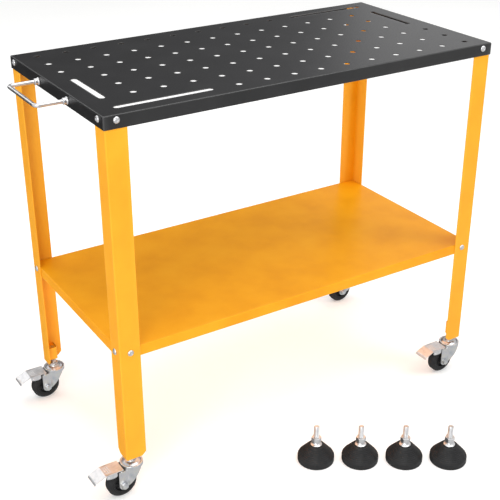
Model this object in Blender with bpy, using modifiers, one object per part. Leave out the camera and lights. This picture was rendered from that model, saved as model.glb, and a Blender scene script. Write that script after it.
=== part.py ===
"""Welding table on casters.

A perforated steel top with turned-down edges stands on four angle legs that carry a lower shelf.
Each leg ends in a socket for a braked swivel caster. A rod handle is fixed to the left end, and a
set of four levelling feet stands on the floor in front. Units are metres and +Z is up.
"""

import math

import bmesh
import bpy
from mathutils import Matrix, Vector

# ---------------------------------------------------------------- driving dimensions
GAP = 0.0003                     # clearance between pieces that touch
THROUGH = 0.004                  # how far a cutter runs past the face that it cuts

TOP_HEIGHT = 0.8315
TOP_LENGTH = 0.9144
TOP_WIDTH = 0.4572
TOP_SHEET = 0.0015
TOP_FLANGE_DEPTH = 0.026
BEND_RADIUS = 0.0025

HOLE_PITCH = 0.0635
HOLE_RADIUS = 0.00635
HOLE_COLUMNS = 14
HOLE_ROWS = 7
HOLE_SIDES = 10
SLOT_SIDES = 12                  # a multiple of 4, so that both ends of a slot are alike

LONG_SIDE_FLANGE = 0.0445        # legs, along the table's long sides
SHORT_SIDE_FLANGE = 0.040        # legs, along the table's short sides
LEG_SHEET = 0.002
LEG_FOOT_HEIGHT = 0.0905
LEG_TOP_CLEARANCE = 0.001
LEG_CORNER_RADIUS = 0.003
LEG_CHAMFER = 0.009
LONG_SIDE_BOLT_INSET = 0.0234    # bolt centres, from the leg's outer faces
SHORT_SIDE_BOLT_INSET = 0.021
STEM_INSET = 0.017               # caster stem, from the leg's outer faces
TOP_BOLT_DEPTH = 0.010           # bolt centres, below the sheet that they hold
SHELF_BOLT_DEPTH = 0.0090

SOCKET_TOP = 0.1295
SOCKET_BOTTOM = 0.0980
SOCKET_PLATE = 0.003
SOCKET_SKIRT = 0.002
SOCKET_SIZE = 0.026
SOCKET_HOLE_RADIUS = 0.0063

SHELF_HEIGHT = 0.353
SHELF_SHEET = 0.0012
SHELF_FLANGE_DEPTH = 0.0225

BOLT_HEAD_RADIUS = 0.0066
BOLT_HEAD_HEIGHT = 0.0036
BOLT_SHANK_RADIUS = 0.0030
BOLT_HOLE_RADIUS = 0.0034
BOLT_GRIP = 0.0044
BOLT_LENGTH = 0.0112
NUT_RADIUS = 0.0058
NUT_THICKNESS = 0.0046
BOLT_SIDES = 8

HANDLE_HEIGHT = TOP_HEIGHT - 0.014
HANDLE_HALF_SPAN = 0.071
HANDLE_REACH = 0.062             # rod's centre line, from the top's end face
HANDLE_ROD_RADIUS = 0.004
HANDLE_BEND_RADIUS = 0.009
HANDLE_TAIL = 0.009
COLLAR_LENGTH = 0.0095

WHEEL_RADIUS = 0.033
WHEEL_SIDES = 24
CROWN_SIDES = 16
CORE_SIDES = 12
FOOT_SIDES = 20
TYRE_HALF_WIDTH = 0.011
TREAD_HALF_WIDTH = 0.0065
CORE_RADIUS = 0.0207
HUB_HALF_WIDTH = 0.0138
AXLE_RADIUS = 0.0040
AXLE_HEIGHT = WHEEL_RADIUS * math.cos(math.pi / WHEEL_SIDES)
CASTER_TRAIL = 0.026

CHEEK_INNER = 0.015
CHEEK_OUTER = 0.017
CHEEK_TOP = 0.0693
CHEEK_REAR = -0.0365
CHEEK_FRONT = 0.0130
CHEEK_BULGE = 0.0238             # radius of the part that curves along with the crown
CHEEK_END_RADIUS = 0.0105
CROWN_RADIUS = 0.024
CROWN_BOTTOM = 0.0665
CROWN_FLOOR = 0.0707
CROWN_RIM = 0.0755
DISH_RADIUS = 0.0205
KINGPIN_RADIUS = 0.004
KINGPIN_HOLE_RADIUS = 0.0045

STUD_RADIUS = 0.0059
STEM_TOP = 0.1280
RACE_RADIUS = 0.0199

PEDAL_HALF_WIDTH = 0.018
PEDAL_SHEET = 0.0016
PEDAL_TOP = 0.0731
PEDAL_PIN_X = -0.030
PEDAL_PIN_Z = 0.0667
PEDAL_PIN_RADIUS = 0.0018
PEDAL_HOLE_RADIUS = 0.0021

FOOT_PAD_RADIUS = 0.040
FOOT_RIM_HEIGHT = 0.013
FOOT_PAD_HEIGHT = 0.040
FOOT_PAD_TOP_RADIUS = 0.0175
FOOT_SOCKET_RADIUS = 0.0083
FOOT_SOCKET_FLOOR = 0.026
FOOT_STUD_TOP = 0.088
FEET_START = (-0.0554, -0.3344)    # first foot, from the middle of the table
FEET_PITCH = 0.0966
FEET_ROW_ANGLE = math.radians(-32.2)

# ---------------------------------------------------------------- derived dimensions
LEG_X = TOP_LENGTH / 2 - TOP_SHEET - GAP
LEG_Y = TOP_WIDTH / 2 - TOP_SHEET - GAP
SHELF_X = LEG_X - LEG_SHEET - GAP
SHELF_Y = LEG_Y - LEG_SHEET - GAP
BOLT_X = LEG_X - LONG_SIDE_BOLT_INSET
BOLT_Y = LEG_Y - SHORT_SIDE_BOLT_INSET
SWIVEL_X = LEG_X - STEM_INSET
SWIVEL_Y = LEG_Y - STEM_INSET
TOP_BOLT_HEIGHT = TOP_HEIGHT - TOP_BOLT_DEPTH
SHELF_BOLT_HEIGHT = SHELF_HEIGHT - SHELF_BOLT_DEPTH

# Each corner: its name, the signs of its x and y, and the leg's turn about Z.
CORNERS = (
    ("front_left", -1, -1, 0),
    ("front_right", 1, -1, 90),
    ("rear_right", 1, 1, 180),
    ("rear_left", -1, 1, 270),
)

# Each slot replaces a run of holes: first and last column, first and last row.
SLOTS = (
    (0, 3, 0, 0),
    (10, 13, 6, 6),
    (0, 0, 1, 3),
    (13, 13, 3, 5),
)


# ---------------------------------------------------------------- scene and materials
def clear_scene():
    for obj in list(bpy.data.objects):
        bpy.data.objects.remove(obj, do_unlink=True)


def new_collection(name):
    collection = bpy.data.collections.new(name)
    bpy.context.scene.collection.children.link(collection)
    return collection


def finish(name, colour, roughness, metallic):
    material = bpy.data.materials.new(name)
    material.use_nodes = True
    shader = material.node_tree.nodes["Principled BSDF"]
    shader.inputs["Base Color"].default_value = (*colour, 1.0)
    shader.inputs["Roughness"].default_value = roughness
    shader.inputs["Metallic"].default_value = metallic
    return material


clear_scene()
PARTS = new_collection("welding_table")
CUTTERS = new_collection("cutters")

BLACK_COAT = finish("black_powder_coat", (0.035, 0.035, 0.037), 0.45, 0.0)
ORANGE_COAT = finish("orange_powder_coat", (0.92, 0.36, 0.018), 0.40, 0.0)
CHROME = finish("chrome_plate", (0.80, 0.80, 0.80), 0.12, 1.0)
ZINC = finish("zinc_plate", (0.62, 0.63, 0.65), 0.32, 1.0)
RUBBER = finish("black_rubber", (0.018, 0.018, 0.019), 0.60, 0.0)
NYLON = finish("black_nylon", (0.030, 0.030, 0.032), 0.45, 0.0)


# ---------------------------------------------------------------- mesh helpers
def helper(name, mesh):
    """An object that only shapes others: a cutter, or a piece waiting to be joined."""
    obj = bpy.data.objects.new(name, mesh)
    obj.hide_render = True
    obj.display_type = "WIRE"
    CUTTERS.objects.link(obj)
    return obj


def mesh_from(name, bm):
    mesh = bpy.data.meshes.new(name)
    bm.to_mesh(mesh)
    bm.free()
    return mesh


def box(name, low, high):
    """A box between two opposite corners."""
    low = Vector(low)
    high = Vector(high)
    bm = bmesh.new()
    place = Matrix.Translation((low + high) / 2) @ Matrix.Diagonal((*(high - low), 1.0))
    bmesh.ops.create_cube(bm, size=1.0, matrix=place)
    return helper(name, mesh_from(name, bm))


def add_cylinder(bm, radius, centre, length, sides, axis="Z"):
    """A cylinder about its centre, with a flat turned to -Z when it lies along Y or X."""
    turns = {
        "Z": Matrix.Identity(4),
        "Y": Matrix.Rotation(math.pi / 2, 4, "X"),
        "X": Matrix.Rotation(math.pi / 2, 4, "Y"),
    }
    place = Matrix.Translation(centre) @ turns[axis]
    place = place @ Matrix.Rotation(math.pi / sides, 4, "Z")
    made = bmesh.ops.create_cone(
        bm, cap_ends=True, segments=sides, radius1=radius, radius2=radius, depth=length, matrix=place
    )
    return made["verts"]


def cylinder(name, radius, centre, length, sides, axis="Z"):
    bm = bmesh.new()
    add_cylinder(bm, radius, centre, length, sides, axis)
    return helper(name, mesh_from(name, bm))


def turned(name, profile, sides, closed=False):
    """A profile of (radius, height) points, spun about Z; it runs down the outer side."""
    half_step = math.pi / sides
    bm = bmesh.new()
    ring = []
    for radius, height in profile:
        ring.append(bm.verts.new((radius * math.cos(half_step), radius * math.sin(half_step), height)))
    for start, end in zip(ring, ring[1:]):
        bm.edges.new((start, end))
    if closed:
        bm.edges.new((ring[-1], ring[0]))
    obj = helper(name, mesh_from(name, bm))
    screw = obj.modifiers.new("turn", "SCREW")
    screw.axis = "Z"
    screw.steps = sides
    screw.render_steps = sides
    screw.use_merge_vertices = True
    screw.merge_threshold = 0.00001
    return obj


def combine(target, other, operation):
    modifier = target.modifiers.new(other.name, "BOOLEAN")
    modifier.operation = operation
    modifier.solver = "EXACT"
    modifier.object = other


def cut(target, *cutters):
    for cutter in cutters:
        combine(target, cutter, "DIFFERENCE")


def join(target, *others):
    for other in others:
        combine(target, other, "UNION")


def bake(obj, material, smooth_angle=35):
    """The helper's evaluated shape as a mesh that any number of objects can share."""
    bpy.context.view_layer.update()
    evaluated = obj.evaluated_get(bpy.context.evaluated_depsgraph_get())
    mesh = bpy.data.meshes.new_from_object(evaluated)
    mesh.name = obj.name
    mesh.materials.clear()
    mesh.materials.append(material)
    mesh.shade_smooth()
    mesh.set_sharp_from_angle(angle=math.radians(smooth_angle))
    return mesh


def place(name, mesh, parent, location=(0, 0, 0), rotation=(0, 0, 0)):
    obj = bpy.data.objects.new(name, mesh)
    obj.location = location
    obj.rotation_euler = [math.radians(angle) for angle in rotation]
    obj.parent = parent
    PARTS.objects.link(obj)
    return obj


def empty(name, location, parent=None):
    obj = bpy.data.objects.new(name, None)
    obj.location = location
    obj.parent = parent
    PARTS.objects.link(obj)
    return obj


# ---------------------------------------------------------------- sheet-metal trays
def rounded_box(name, half_x, half_y, low, high, radius, round_top):
    """A box whose upright edges, and if asked its top edges, are rounded."""
    obj = box(name, (-half_x, -half_y, low), (half_x, half_y, high))
    bm = bmesh.new()
    bm.from_mesh(obj.data)
    edges = []
    for edge in bm.edges:
        heights = [vertex.co.z for vertex in edge.verts]
        upright = max(heights) - min(heights) > GAP
        on_top = min(heights) > (low + high) / 2
        if upright or (round_top and on_top):
            edges.append(edge)
    bmesh.ops.bevel(bm, geom=edges, offset=radius, segments=2, profile=0.5, affect="EDGES")
    bm.to_mesh(obj.data)
    bm.free()
    return obj


def tray(name, half_x, half_y, height, depth, sheet):
    """A sheet with its four edges turned down and its corners closed."""
    bottom = height - depth
    shell = rounded_box(name, half_x, half_y, bottom, height, BEND_RADIUS, True)
    hollow = rounded_box(
        name + "_hollow",
        half_x - sheet,
        half_y - sheet,
        bottom - THROUGH,
        height - sheet,
        BEND_RADIUS - sheet,
        False,
    )
    cut(shell, hollow)
    return shell


def corner_bolt_holes(name, half_x, half_y, height):
    """Cutters for the two bolts at each corner of a tray."""
    bm = bmesh.new()
    reach = 4 * THROUGH
    for _, side_x, side_y, _ in CORNERS:
        long_side = (side_x * BOLT_X, side_y * half_y, height)
        short_side = (side_x * half_x, side_y * BOLT_Y, height)
        add_cylinder(bm, BOLT_HOLE_RADIUS, long_side, reach, 8, "Y")
        add_cylinder(bm, BOLT_HOLE_RADIUS, short_side, reach, 8, "X")
    return helper(name, mesh_from(name, bm))


# ---------------------------------------------------------------- table top
def hole_place(column, row):
    x = (column - (HOLE_COLUMNS - 1) / 2) * HOLE_PITCH
    y = (row - (HOLE_ROWS - 1) / 2) * HOLE_PITCH
    return x, y


def in_a_slot(column, row):
    for first_column, last_column, first_row, last_row in SLOTS:
        if first_column <= column <= last_column and first_row <= row <= last_row:
            return True
    return False


def clamp_hole_cutter():
    """One cylinder for each hole of the grid, apart from those that a slot replaces."""
    bm = bmesh.new()
    depth = TOP_SHEET + 2 * THROUGH
    for column in range(HOLE_COLUMNS):
        for row in range(HOLE_ROWS):
            if not in_a_slot(column, row):
                centre = (*hole_place(column, row), TOP_HEIGHT)
                add_cylinder(bm, HOLE_RADIUS, centre, depth, HOLE_SIDES)
    return helper("clamp_holes", mesh_from("clamp_holes", bm))


def slot_cutter():
    """Each slot is a cylinder whose two halves are drawn apart to the slot's end holes."""
    bm = bmesh.new()
    depth = TOP_SHEET + 2 * THROUGH
    for first_column, last_column, first_row, last_row in SLOTS:
        start = Vector(hole_place(first_column, first_row))
        end = Vector(hole_place(last_column, last_row))
        middle = (start + end) / 2
        verts = add_cylinder(bm, HOLE_RADIUS, (*middle, TOP_HEIGHT), depth, SLOT_SIDES)
        half_run = (end - start) / 2
        for vertex in verts:
            side = (vertex.co.xy - middle).dot(half_run)
            vertex.co.xy += half_run if side > 0 else -half_run
    return helper("slots", mesh_from("slots", bm))


def handle_hole_cutter():
    bm = bmesh.new()
    for side in (-1, 1):
        centre = (-TOP_LENGTH / 2, side * HANDLE_HALF_SPAN, HANDLE_HEIGHT)
        add_cylinder(bm, HANDLE_ROD_RADIUS + 2 * GAP, centre, 4 * THROUGH, 12, "X")
    return helper("handle_holes", mesh_from("handle_holes", bm))


def make_top(frame):
    half_x = TOP_LENGTH / 2
    half_y = TOP_WIDTH / 2
    shell = tray("top_blank", half_x, half_y, TOP_HEIGHT, TOP_FLANGE_DEPTH, TOP_SHEET)
    cut(shell, clamp_hole_cutter(), slot_cutter(), handle_hole_cutter())
    cut(shell, corner_bolt_holes("top_bolt_holes", half_x, half_y, TOP_BOLT_HEIGHT))
    place("table_top", bake(shell, BLACK_COAT), frame)


def make_shelf(frame):
    shell = tray("shelf_blank", SHELF_X, SHELF_Y, SHELF_HEIGHT, SHELF_FLANGE_DEPTH, SHELF_SHEET)
    cut(shell, corner_bolt_holes("shelf_bolt_holes", SHELF_X, SHELF_Y, SHELF_BOLT_HEIGHT))
    place("lower_shelf", bake(shell, ORANGE_COAT), frame)


# ---------------------------------------------------------------- legs
def leg_section(flange_x, flange_y):
    """The angle's outer face as (x, y, rise of the lower edge), from one free edge to the other."""
    points = [(flange_x, 0.0, LEG_CHAMFER), (flange_x - LEG_CHAMFER, 0.0, 0.0)]
    for angle in (270, 240, 210, 180):
        x = LEG_CORNER_RADIUS * (1 + math.cos(math.radians(angle)))
        y = LEG_CORNER_RADIUS * (1 + math.sin(math.radians(angle)))
        points.append((x, y, 0.0))
    points += [(0.0, flange_y - LEG_CHAMFER, 0.0), (0.0, flange_y, LEG_CHAMFER)]
    return points


def leg_angle(flange_x, flange_y):
    """The open outer face of the angle, thickened inwards."""
    top = TOP_HEIGHT - TOP_SHEET - LEG_TOP_CLEARANCE
    bm = bmesh.new()
    upper = []
    lower = []
    for x, y, rise in leg_section(flange_x, flange_y):
        upper.append(bm.verts.new((x, y, top)))
        lower.append(bm.verts.new((x, y, LEG_FOOT_HEIGHT + rise)))
    for index in range(len(upper) - 1):
        bm.faces.new((upper[index], upper[index + 1], lower[index + 1], lower[index]))
    obj = helper("leg_blank", mesh_from("leg_blank", bm))
    solidify = obj.modifiers.new("sheet", "SOLIDIFY")
    solidify.thickness = LEG_SHEET
    solidify.offset = -1
    solidify.use_even_offset = True
    return obj


def leg_socket():
    """The plate welded into the leg's foot, with skirts on its two open sides."""
    weld = LEG_SHEET / 2
    block = box("socket", (weld, weld, SOCKET_BOTTOM), (SOCKET_SIZE, SOCKET_SIZE, SOCKET_TOP))
    inside = SOCKET_SIZE - SOCKET_SKIRT
    hollow = box(
        "socket_hollow",
        (-THROUGH, -THROUGH, SOCKET_BOTTOM - THROUGH),
        (inside, inside, SOCKET_TOP - SOCKET_PLATE),
    )
    cut(block, hollow)
    return block


def leg_mesh(flange_x, inset_x, flange_y, inset_y):
    """A drilled leg with its corner at the origin and its flanges along +X and +Y."""
    leg = leg_angle(flange_x, flange_y)
    join(leg, leg_socket())
    stem_hole = cylinder("stem_hole", SOCKET_HOLE_RADIUS, (STEM_INSET, STEM_INSET, SOCKET_TOP), 0.012, 16)
    bm = bmesh.new()
    for height in (TOP_BOLT_HEIGHT, SHELF_BOLT_HEIGHT):
        add_cylinder(bm, BOLT_HOLE_RADIUS, (inset_x, 0, height), 4 * THROUGH, 8, "Y")
        add_cylinder(bm, BOLT_HOLE_RADIUS, (0, inset_y, height), 4 * THROUGH, 8, "X")
    cut(leg, stem_hole, helper("leg_bolt_holes", mesh_from("leg_bolt_holes", bm)))
    return bake(leg, ORANGE_COAT)


def make_legs(frame):
    """Two hands of leg: a quarter turn swaps the flanges over, so each hand serves two corners."""
    long_side = (LONG_SIDE_FLANGE, LONG_SIDE_BOLT_INSET)
    short_side = (SHORT_SIDE_FLANGE, SHORT_SIDE_BOLT_INSET)
    straight = leg_mesh(*long_side, *short_side)
    turned_over = leg_mesh(*short_side, *long_side)
    for name, side_x, side_y, turn in CORNERS:
        mesh = straight if turn in (0, 180) else turned_over
        corner = (side_x * LEG_X, side_y * LEG_Y, 0)
        place("leg_" + name, mesh, frame, corner, (0, 0, turn))


# ---------------------------------------------------------------- bolts
def bolt_mesh():
    """A round-head bolt with its nut; the head's underside is at z = 0 and it points up."""
    dome = [(0.0, BOLT_HEAD_HEIGHT)]
    for angle in (60, 15):
        bulge = math.radians(angle)
        dome.append((BOLT_HEAD_RADIUS * math.cos(bulge), BOLT_HEAD_HEIGHT * math.sin(bulge)))
    profile = dome + [
        (BOLT_HEAD_RADIUS, 0.0),
        (BOLT_SHANK_RADIUS, 0.0),
        (BOLT_SHANK_RADIUS, -BOLT_LENGTH),
        (0.0, -BOLT_LENGTH),
    ]
    bolt = turned("bolt", profile, BOLT_SIDES)
    middle = (0, 0, -BOLT_GRIP - NUT_THICKNESS / 2)
    join(bolt, cylinder("bolt_nut", NUT_RADIUS, middle, NUT_THICKNESS, 6))
    return bake(bolt, CHROME)


def make_corner_bolts(frame, mesh, level, height, face_x, face_y):
    """Two bolts at each corner, one through the long side and one through the short side."""
    for name, side_x, side_y, _ in CORNERS:
        long_place = (side_x * BOLT_X, side_y * (face_y + GAP), height)
        short_place = (side_x * (face_x + GAP), side_y * BOLT_Y, height)
        long_turn = 0 if side_y < 0 else 180
        short_turn = -90 if side_x < 0 else 90
        place(f"{level}_bolt_{name}_long_side", mesh, frame, long_place, (90, 0, long_turn))
        place(f"{level}_bolt_{name}_short_side", mesh, frame, short_place, (90, 0, short_turn))


def make_bolts(frame):
    mesh = bolt_mesh()
    make_corner_bolts(frame, mesh, "top", TOP_BOLT_HEIGHT, TOP_LENGTH / 2, TOP_WIDTH / 2)
    make_corner_bolts(frame, mesh, "shelf", SHELF_BOLT_HEIGHT, LEG_X, LEG_Y)


# ---------------------------------------------------------------- handle
def handle_route():
    """Centre line of the rod, from the tail inside the top's flange, round to the other tail."""
    outer = -TOP_LENGTH / 2 - HANDLE_REACH
    tail = -TOP_LENGTH / 2 + TOP_SHEET + HANDLE_TAIL
    bend_x = outer + HANDLE_BEND_RADIUS
    bend_y = HANDLE_HALF_SPAN - HANDLE_BEND_RADIUS
    points = [(tail, HANDLE_HALF_SPAN)]
    for angle in (90, 112.5, 135, 157.5, 180):
        turn = math.radians(angle)
        x = bend_x + HANDLE_BEND_RADIUS * math.cos(turn)
        points.append((x, bend_y + HANDLE_BEND_RADIUS * math.sin(turn)))
    mirrored = [(x, -y) for x, y in reversed(points)]
    return points + mirrored


def rod_mesh():
    curve = bpy.data.curves.new("handle_rod", "CURVE")
    curve.dimensions = "3D"
    curve.bevel_depth = HANDLE_ROD_RADIUS
    curve.bevel_resolution = 2
    curve.use_fill_caps = True
    spline = curve.splines.new("POLY")
    route = handle_route()
    spline.points.add(len(route) - 1)
    for point, (x, y) in zip(spline.points, route):
        point.co = (x, y, HANDLE_HEIGHT, 1.0)
    guide = helper("handle_guide", curve)
    mesh = bake(guide, CHROME)
    bm = bmesh.new()
    bm.from_mesh(mesh)
    bmesh.ops.remove_doubles(bm, verts=bm.verts, dist=0.00001)
    bm.to_mesh(mesh)
    bm.free()
    bpy.data.objects.remove(guide, do_unlink=True)
    return mesh


def make_handle(frame):
    place("handle_rod", rod_mesh(), frame)
    bore = HANDLE_ROD_RADIUS + GAP
    collar = turned(
        "collar",
        [
            (0.0056, COLLAR_LENGTH),
            (0.0062, COLLAR_LENGTH * 0.9),
            (0.0062, COLLAR_LENGTH * 0.35),
            (0.0074, COLLAR_LENGTH * 0.12),
            (0.0074, 0.0),
            (bore, 0.0),
            (bore, COLLAR_LENGTH),
        ],
        12,
        closed=True,
    )
    collar_mesh = bake(collar, CHROME)
    nut = cylinder("handle_nut", 0.0078, (0, 0, 0.0028), 0.0056, 6)
    cut(nut, cylinder("handle_nut_bore", bore, (0, 0, 0), 0.03, 12))
    nut_mesh = bake(nut, ZINC)
    outside = -TOP_LENGTH / 2 - GAP
    inside = -TOP_LENGTH / 2 + TOP_SHEET + GAP
    for name, side in (("front", -1), ("rear", 1)):
        y = side * HANDLE_HALF_SPAN
        place("handle_collar_" + name, collar_mesh, frame, (outside, y, HANDLE_HEIGHT), (0, -90, 0))
        place("handle_nut_" + name, nut_mesh, frame, (inside, y, HANDLE_HEIGHT), (0, 90, 0))


# ---------------------------------------------------------------- casters
def stem_mesh():
    """Threaded stud, lock nut and upper race, with the kingpin that the fork hangs on."""
    stem = turned(
        "stem",
        [
            (0.0, STEM_TOP),
            (STUD_RADIUS, STEM_TOP),
            (STUD_RADIUS, 0.0805),
            (0.0100, 0.0780),
            (0.0140, 0.0770),
            (RACE_RADIUS, 0.0735),
            (RACE_RADIUS, CROWN_FLOOR + GAP),
            (KINGPIN_RADIUS, CROWN_FLOOR + GAP),
            (KINGPIN_RADIUS, CROWN_BOTTOM - GAP),
            (0.0070, CROWN_BOTTOM - GAP),
            (0.0070, CROWN_BOTTOM - 0.0011),
            (0.0, CROWN_BOTTOM - 0.0013),
        ],
        CORE_SIDES,
    )
    join(stem, cylinder("lock_nut", 0.0104, (0, 0, 0.0827), 0.0064, 6))
    return bake(stem, ZINC)


def prism(name, outline, length):
    """An outline of (x, y) points, extruded upwards from z = 0."""
    bm = bmesh.new()
    base = bm.faces.new([bm.verts.new((x, y, 0.0)) for x, y in outline])
    raised = bmesh.ops.extrude_face_region(bm, geom=[base])["geom"]
    verts = [item for item in raised if isinstance(item, bmesh.types.BMVert)]
    bmesh.ops.translate(bm, vec=(0, 0, length), verts=verts)
    bmesh.ops.recalc_face_normals(bm, faces=bm.faces)
    return helper(name, mesh_from(name, bm))


def cheek_plan(side):
    """Plan of one side plate: flat behind the crown, then curved along with the crown."""
    flat_end = -0.0170
    outline = [(CHEEK_REAR, side * CHEEK_OUTER), (flat_end, side * CHEEK_OUTER)]
    turns = [math.radians(angle) for angle in (236.25, 258.75, 281.25, 303.75)]
    for turn in turns:
        outline.append((CHEEK_BULGE * math.cos(turn), -side * CHEEK_BULGE * math.sin(turn)))
    inner = CHEEK_BULGE - (CHEEK_OUTER - CHEEK_INNER)
    for turn in reversed(turns):
        outline.append((inner * math.cos(turn), -side * inner * math.sin(turn)))
    outline += [(flat_end + 0.0012, side * CHEEK_INNER), (CHEEK_REAR, side * CHEEK_INNER)]
    return outline


def fork_side(name, side):
    """One side plate of the fork, trimmed to its outline in XZ, with a round end about the axle."""
    plate = prism(name, cheek_plan(side), CHEEK_TOP)
    outline = [(CHEEK_REAR - GAP, CHEEK_TOP + GAP), (CHEEK_REAR - GAP, AXLE_HEIGHT)]
    for angle in (200, 230, 260, 290, 320):
        turn = math.radians(angle)
        x = -CASTER_TRAIL + CHEEK_END_RADIUS * math.cos(turn)
        outline.append((x, AXLE_HEIGHT + CHEEK_END_RADIUS * math.sin(turn)))
    outline += [(CHEEK_FRONT, CROWN_BOTTOM), (CHEEK_FRONT, CHEEK_TOP + GAP)]
    trim = prism(name + "_trim", outline, 4 * CHEEK_BULGE)
    trim.matrix_world = Matrix.Translation((0, 2 * CHEEK_BULGE, 0)) @ Matrix.Rotation(math.pi / 2, 4, "X")
    combine(plate, trim, "INTERSECT")
    return plate


def fork_mesh():
    crown = turned(
        "crown",
        [
            (0.0, CROWN_FLOOR),
            (DISH_RADIUS, CROWN_FLOOR),
            (DISH_RADIUS, CROWN_RIM),
            (CROWN_RADIUS - 0.0010, CROWN_RIM),
            (CROWN_RADIUS, CROWN_RIM - 0.0012),
            (CROWN_RADIUS, CROWN_BOTTOM + 0.0016),
            (CROWN_RADIUS - 0.0016, CROWN_BOTTOM),
            (0.0, CROWN_BOTTOM),
        ],
        CROWN_SIDES,
    )
    join(crown, fork_side("near_cheek", -1), fork_side("far_cheek", 1))
    bore_length = 4 * CHEEK_OUTER
    axle_bore = cylinder(
        "axle_bore", AXLE_RADIUS + GAP, (-CASTER_TRAIL, 0, AXLE_HEIGHT), bore_length, 12, "Y"
    )
    pin_bore = cylinder(
        "pin_bore", PEDAL_HOLE_RADIUS, (PEDAL_PIN_X, 0, PEDAL_PIN_Z), bore_length, 12, "Y"
    )
    kingpin_bore = cylinder("kingpin_bore", KINGPIN_HOLE_RADIUS, (0, 0, CROWN_BOTTOM), 0.02, CORE_SIDES)
    cut(crown, axle_bore, pin_bore, kingpin_bore)
    return bake(crown, ZINC)


def tyre_mesh():
    """Rubber tread ring, with its axis along Z."""
    seat = CORE_RADIUS + GAP
    side = [
        (WHEEL_RADIUS, -TREAD_HALF_WIDTH),
        (WHEEL_RADIUS - 0.0040, -TYRE_HALF_WIDTH),
        (seat, -TYRE_HALF_WIDTH + 0.0006),
    ]
    other_side = [(radius, -height) for radius, height in reversed(side)]
    return bake(turned("tyre", side + other_side, WHEEL_SIDES, closed=True), RUBBER, 50)


def core_mesh():
    """Wheel centre with its rim, thin web and long hub, with its axis along Z."""
    side = [
        (CORE_RADIUS, -0.0100),
        (0.0185, -0.0100),
        (0.0175, -0.0045),
        (0.0100, -0.0038),
        (0.0090, -HUB_HALF_WIDTH),
        (AXLE_RADIUS + GAP, -HUB_HALF_WIDTH),
    ]
    other_side = [(radius, -height) for radius, height in reversed(side)]
    return bake(turned("wheel_core", side + other_side, CORE_SIDES, closed=True), NYLON)


def axle_mesh():
    """Axle bolt along Z with its head at the top and its nut at the bottom."""
    seat = CHEEK_OUTER + GAP
    axle = cylinder("axle", AXLE_RADIUS, (0, 0, -0.0015), 2 * seat + 0.009, 12)
    head = cylinder("axle_head", 0.0074, (0, 0, seat + 0.0023), 0.0046, 6)
    nut = cylinder("axle_nut", 0.0074, (0, 0, -seat - 0.0027), 0.0054, 6)
    join(axle, head, nut)
    return bake(axle, ZINC)


def pedal_plate():
    """The pedal's pressed sheet: a flat tread, a sloping toe with a lip, and two side flanges."""
    tread = [(-0.0255, PEDAL_TOP), (-0.0410, PEDAL_TOP), (-0.0660, PEDAL_TOP)]
    toe = [(-0.0890, 0.0630), (-0.0915, 0.0585)]
    flange_foot = 0.0595
    bm = bmesh.new()
    rows = []
    for x, z in tread + toe:
        rows.append([bm.verts.new((x, side * PEDAL_HALF_WIDTH, z)) for side in (-1, 1)])
    for (near, far), (next_near, next_far) in zip(rows, rows[1:]):
        bm.faces.new((near, far, next_far, next_near))
    for side, front, rear in ((-1, rows[1][0], rows[2][0]), (1, rows[1][1], rows[2][1])):
        y = side * PEDAL_HALF_WIDTH
        low_front = bm.verts.new((front.co.x, y, flange_foot))
        low_rear = bm.verts.new((rear.co.x + 0.006, y, flange_foot + 0.002))
        corners = (front, rear, low_rear, low_front)
        bm.faces.new(corners if side < 0 else tuple(reversed(corners)))
    obj = helper("pedal_plate", mesh_from("pedal_plate", bm))
    solidify = obj.modifiers.new("sheet", "SOLIDIFY")
    solidify.thickness = PEDAL_SHEET
    solidify.offset = -1
    solidify.use_even_offset = True
    return obj


def pedal_mesh():
    """Brake pedal with two short pins, the lugs that hold them, and the shoe over the tread."""
    plate = pedal_plate()
    buried = PEDAL_TOP - PEDAL_SHEET / 2
    hangers = []
    for name, low, high in (("near", -0.0140, -0.0120), ("far", 0.0120, 0.0140)):
        hangers.append(box(name + "_lug", (-0.0335, low, 0.0643), (-0.0265, high, buried)))
        pin_y = math.copysign(0.0146, low)
        pin = cylinder(
            name + "_pin", PEDAL_PIN_RADIUS, (PEDAL_PIN_X, pin_y, PEDAL_PIN_Z), 0.0046, 8, "Y"
        )
        hangers.append(pin)
    shoe = box("brake_shoe", (-0.0470, -0.0080, 0.0642), (-0.0430, 0.0080, buried))
    join(plate, *hangers, shoe)
    mesh = bake(plate, CHROME)
    mesh.transform(Matrix.Translation((-PEDAL_PIN_X, 0, -PEDAL_PIN_Z)))
    return mesh


def make_casters(frame):
    """Each caster stands on its own empty, on the swivel axis at floor level, trailing to -X."""
    stem = stem_mesh()
    fork = fork_mesh()
    tyre = tyre_mesh()
    core = core_mesh()
    axle = axle_mesh()
    pedal = pedal_mesh()
    on_axle = (-CASTER_TRAIL, 0, AXLE_HEIGHT)
    on_pin = (PEDAL_PIN_X, 0, PEDAL_PIN_Z)
    for name, side_x, side_y, _ in CORNERS:
        swivel = empty("swivel_" + name, (side_x * SWIVEL_X, side_y * SWIVEL_Y, 0), frame)
        place("caster_stem_" + name, stem, swivel)
        place("caster_fork_" + name, fork, swivel)
        place("caster_axle_" + name, axle, swivel, on_axle, (-90, 0, 0))
        place("caster_tyre_" + name, tyre, swivel, on_axle, (-90, 0, 0))
        place("caster_wheel_core_" + name, core, swivel, on_axle, (-90, 0, 0))
        place("caster_brake_pedal_" + name, pedal, swivel, on_pin)


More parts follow.
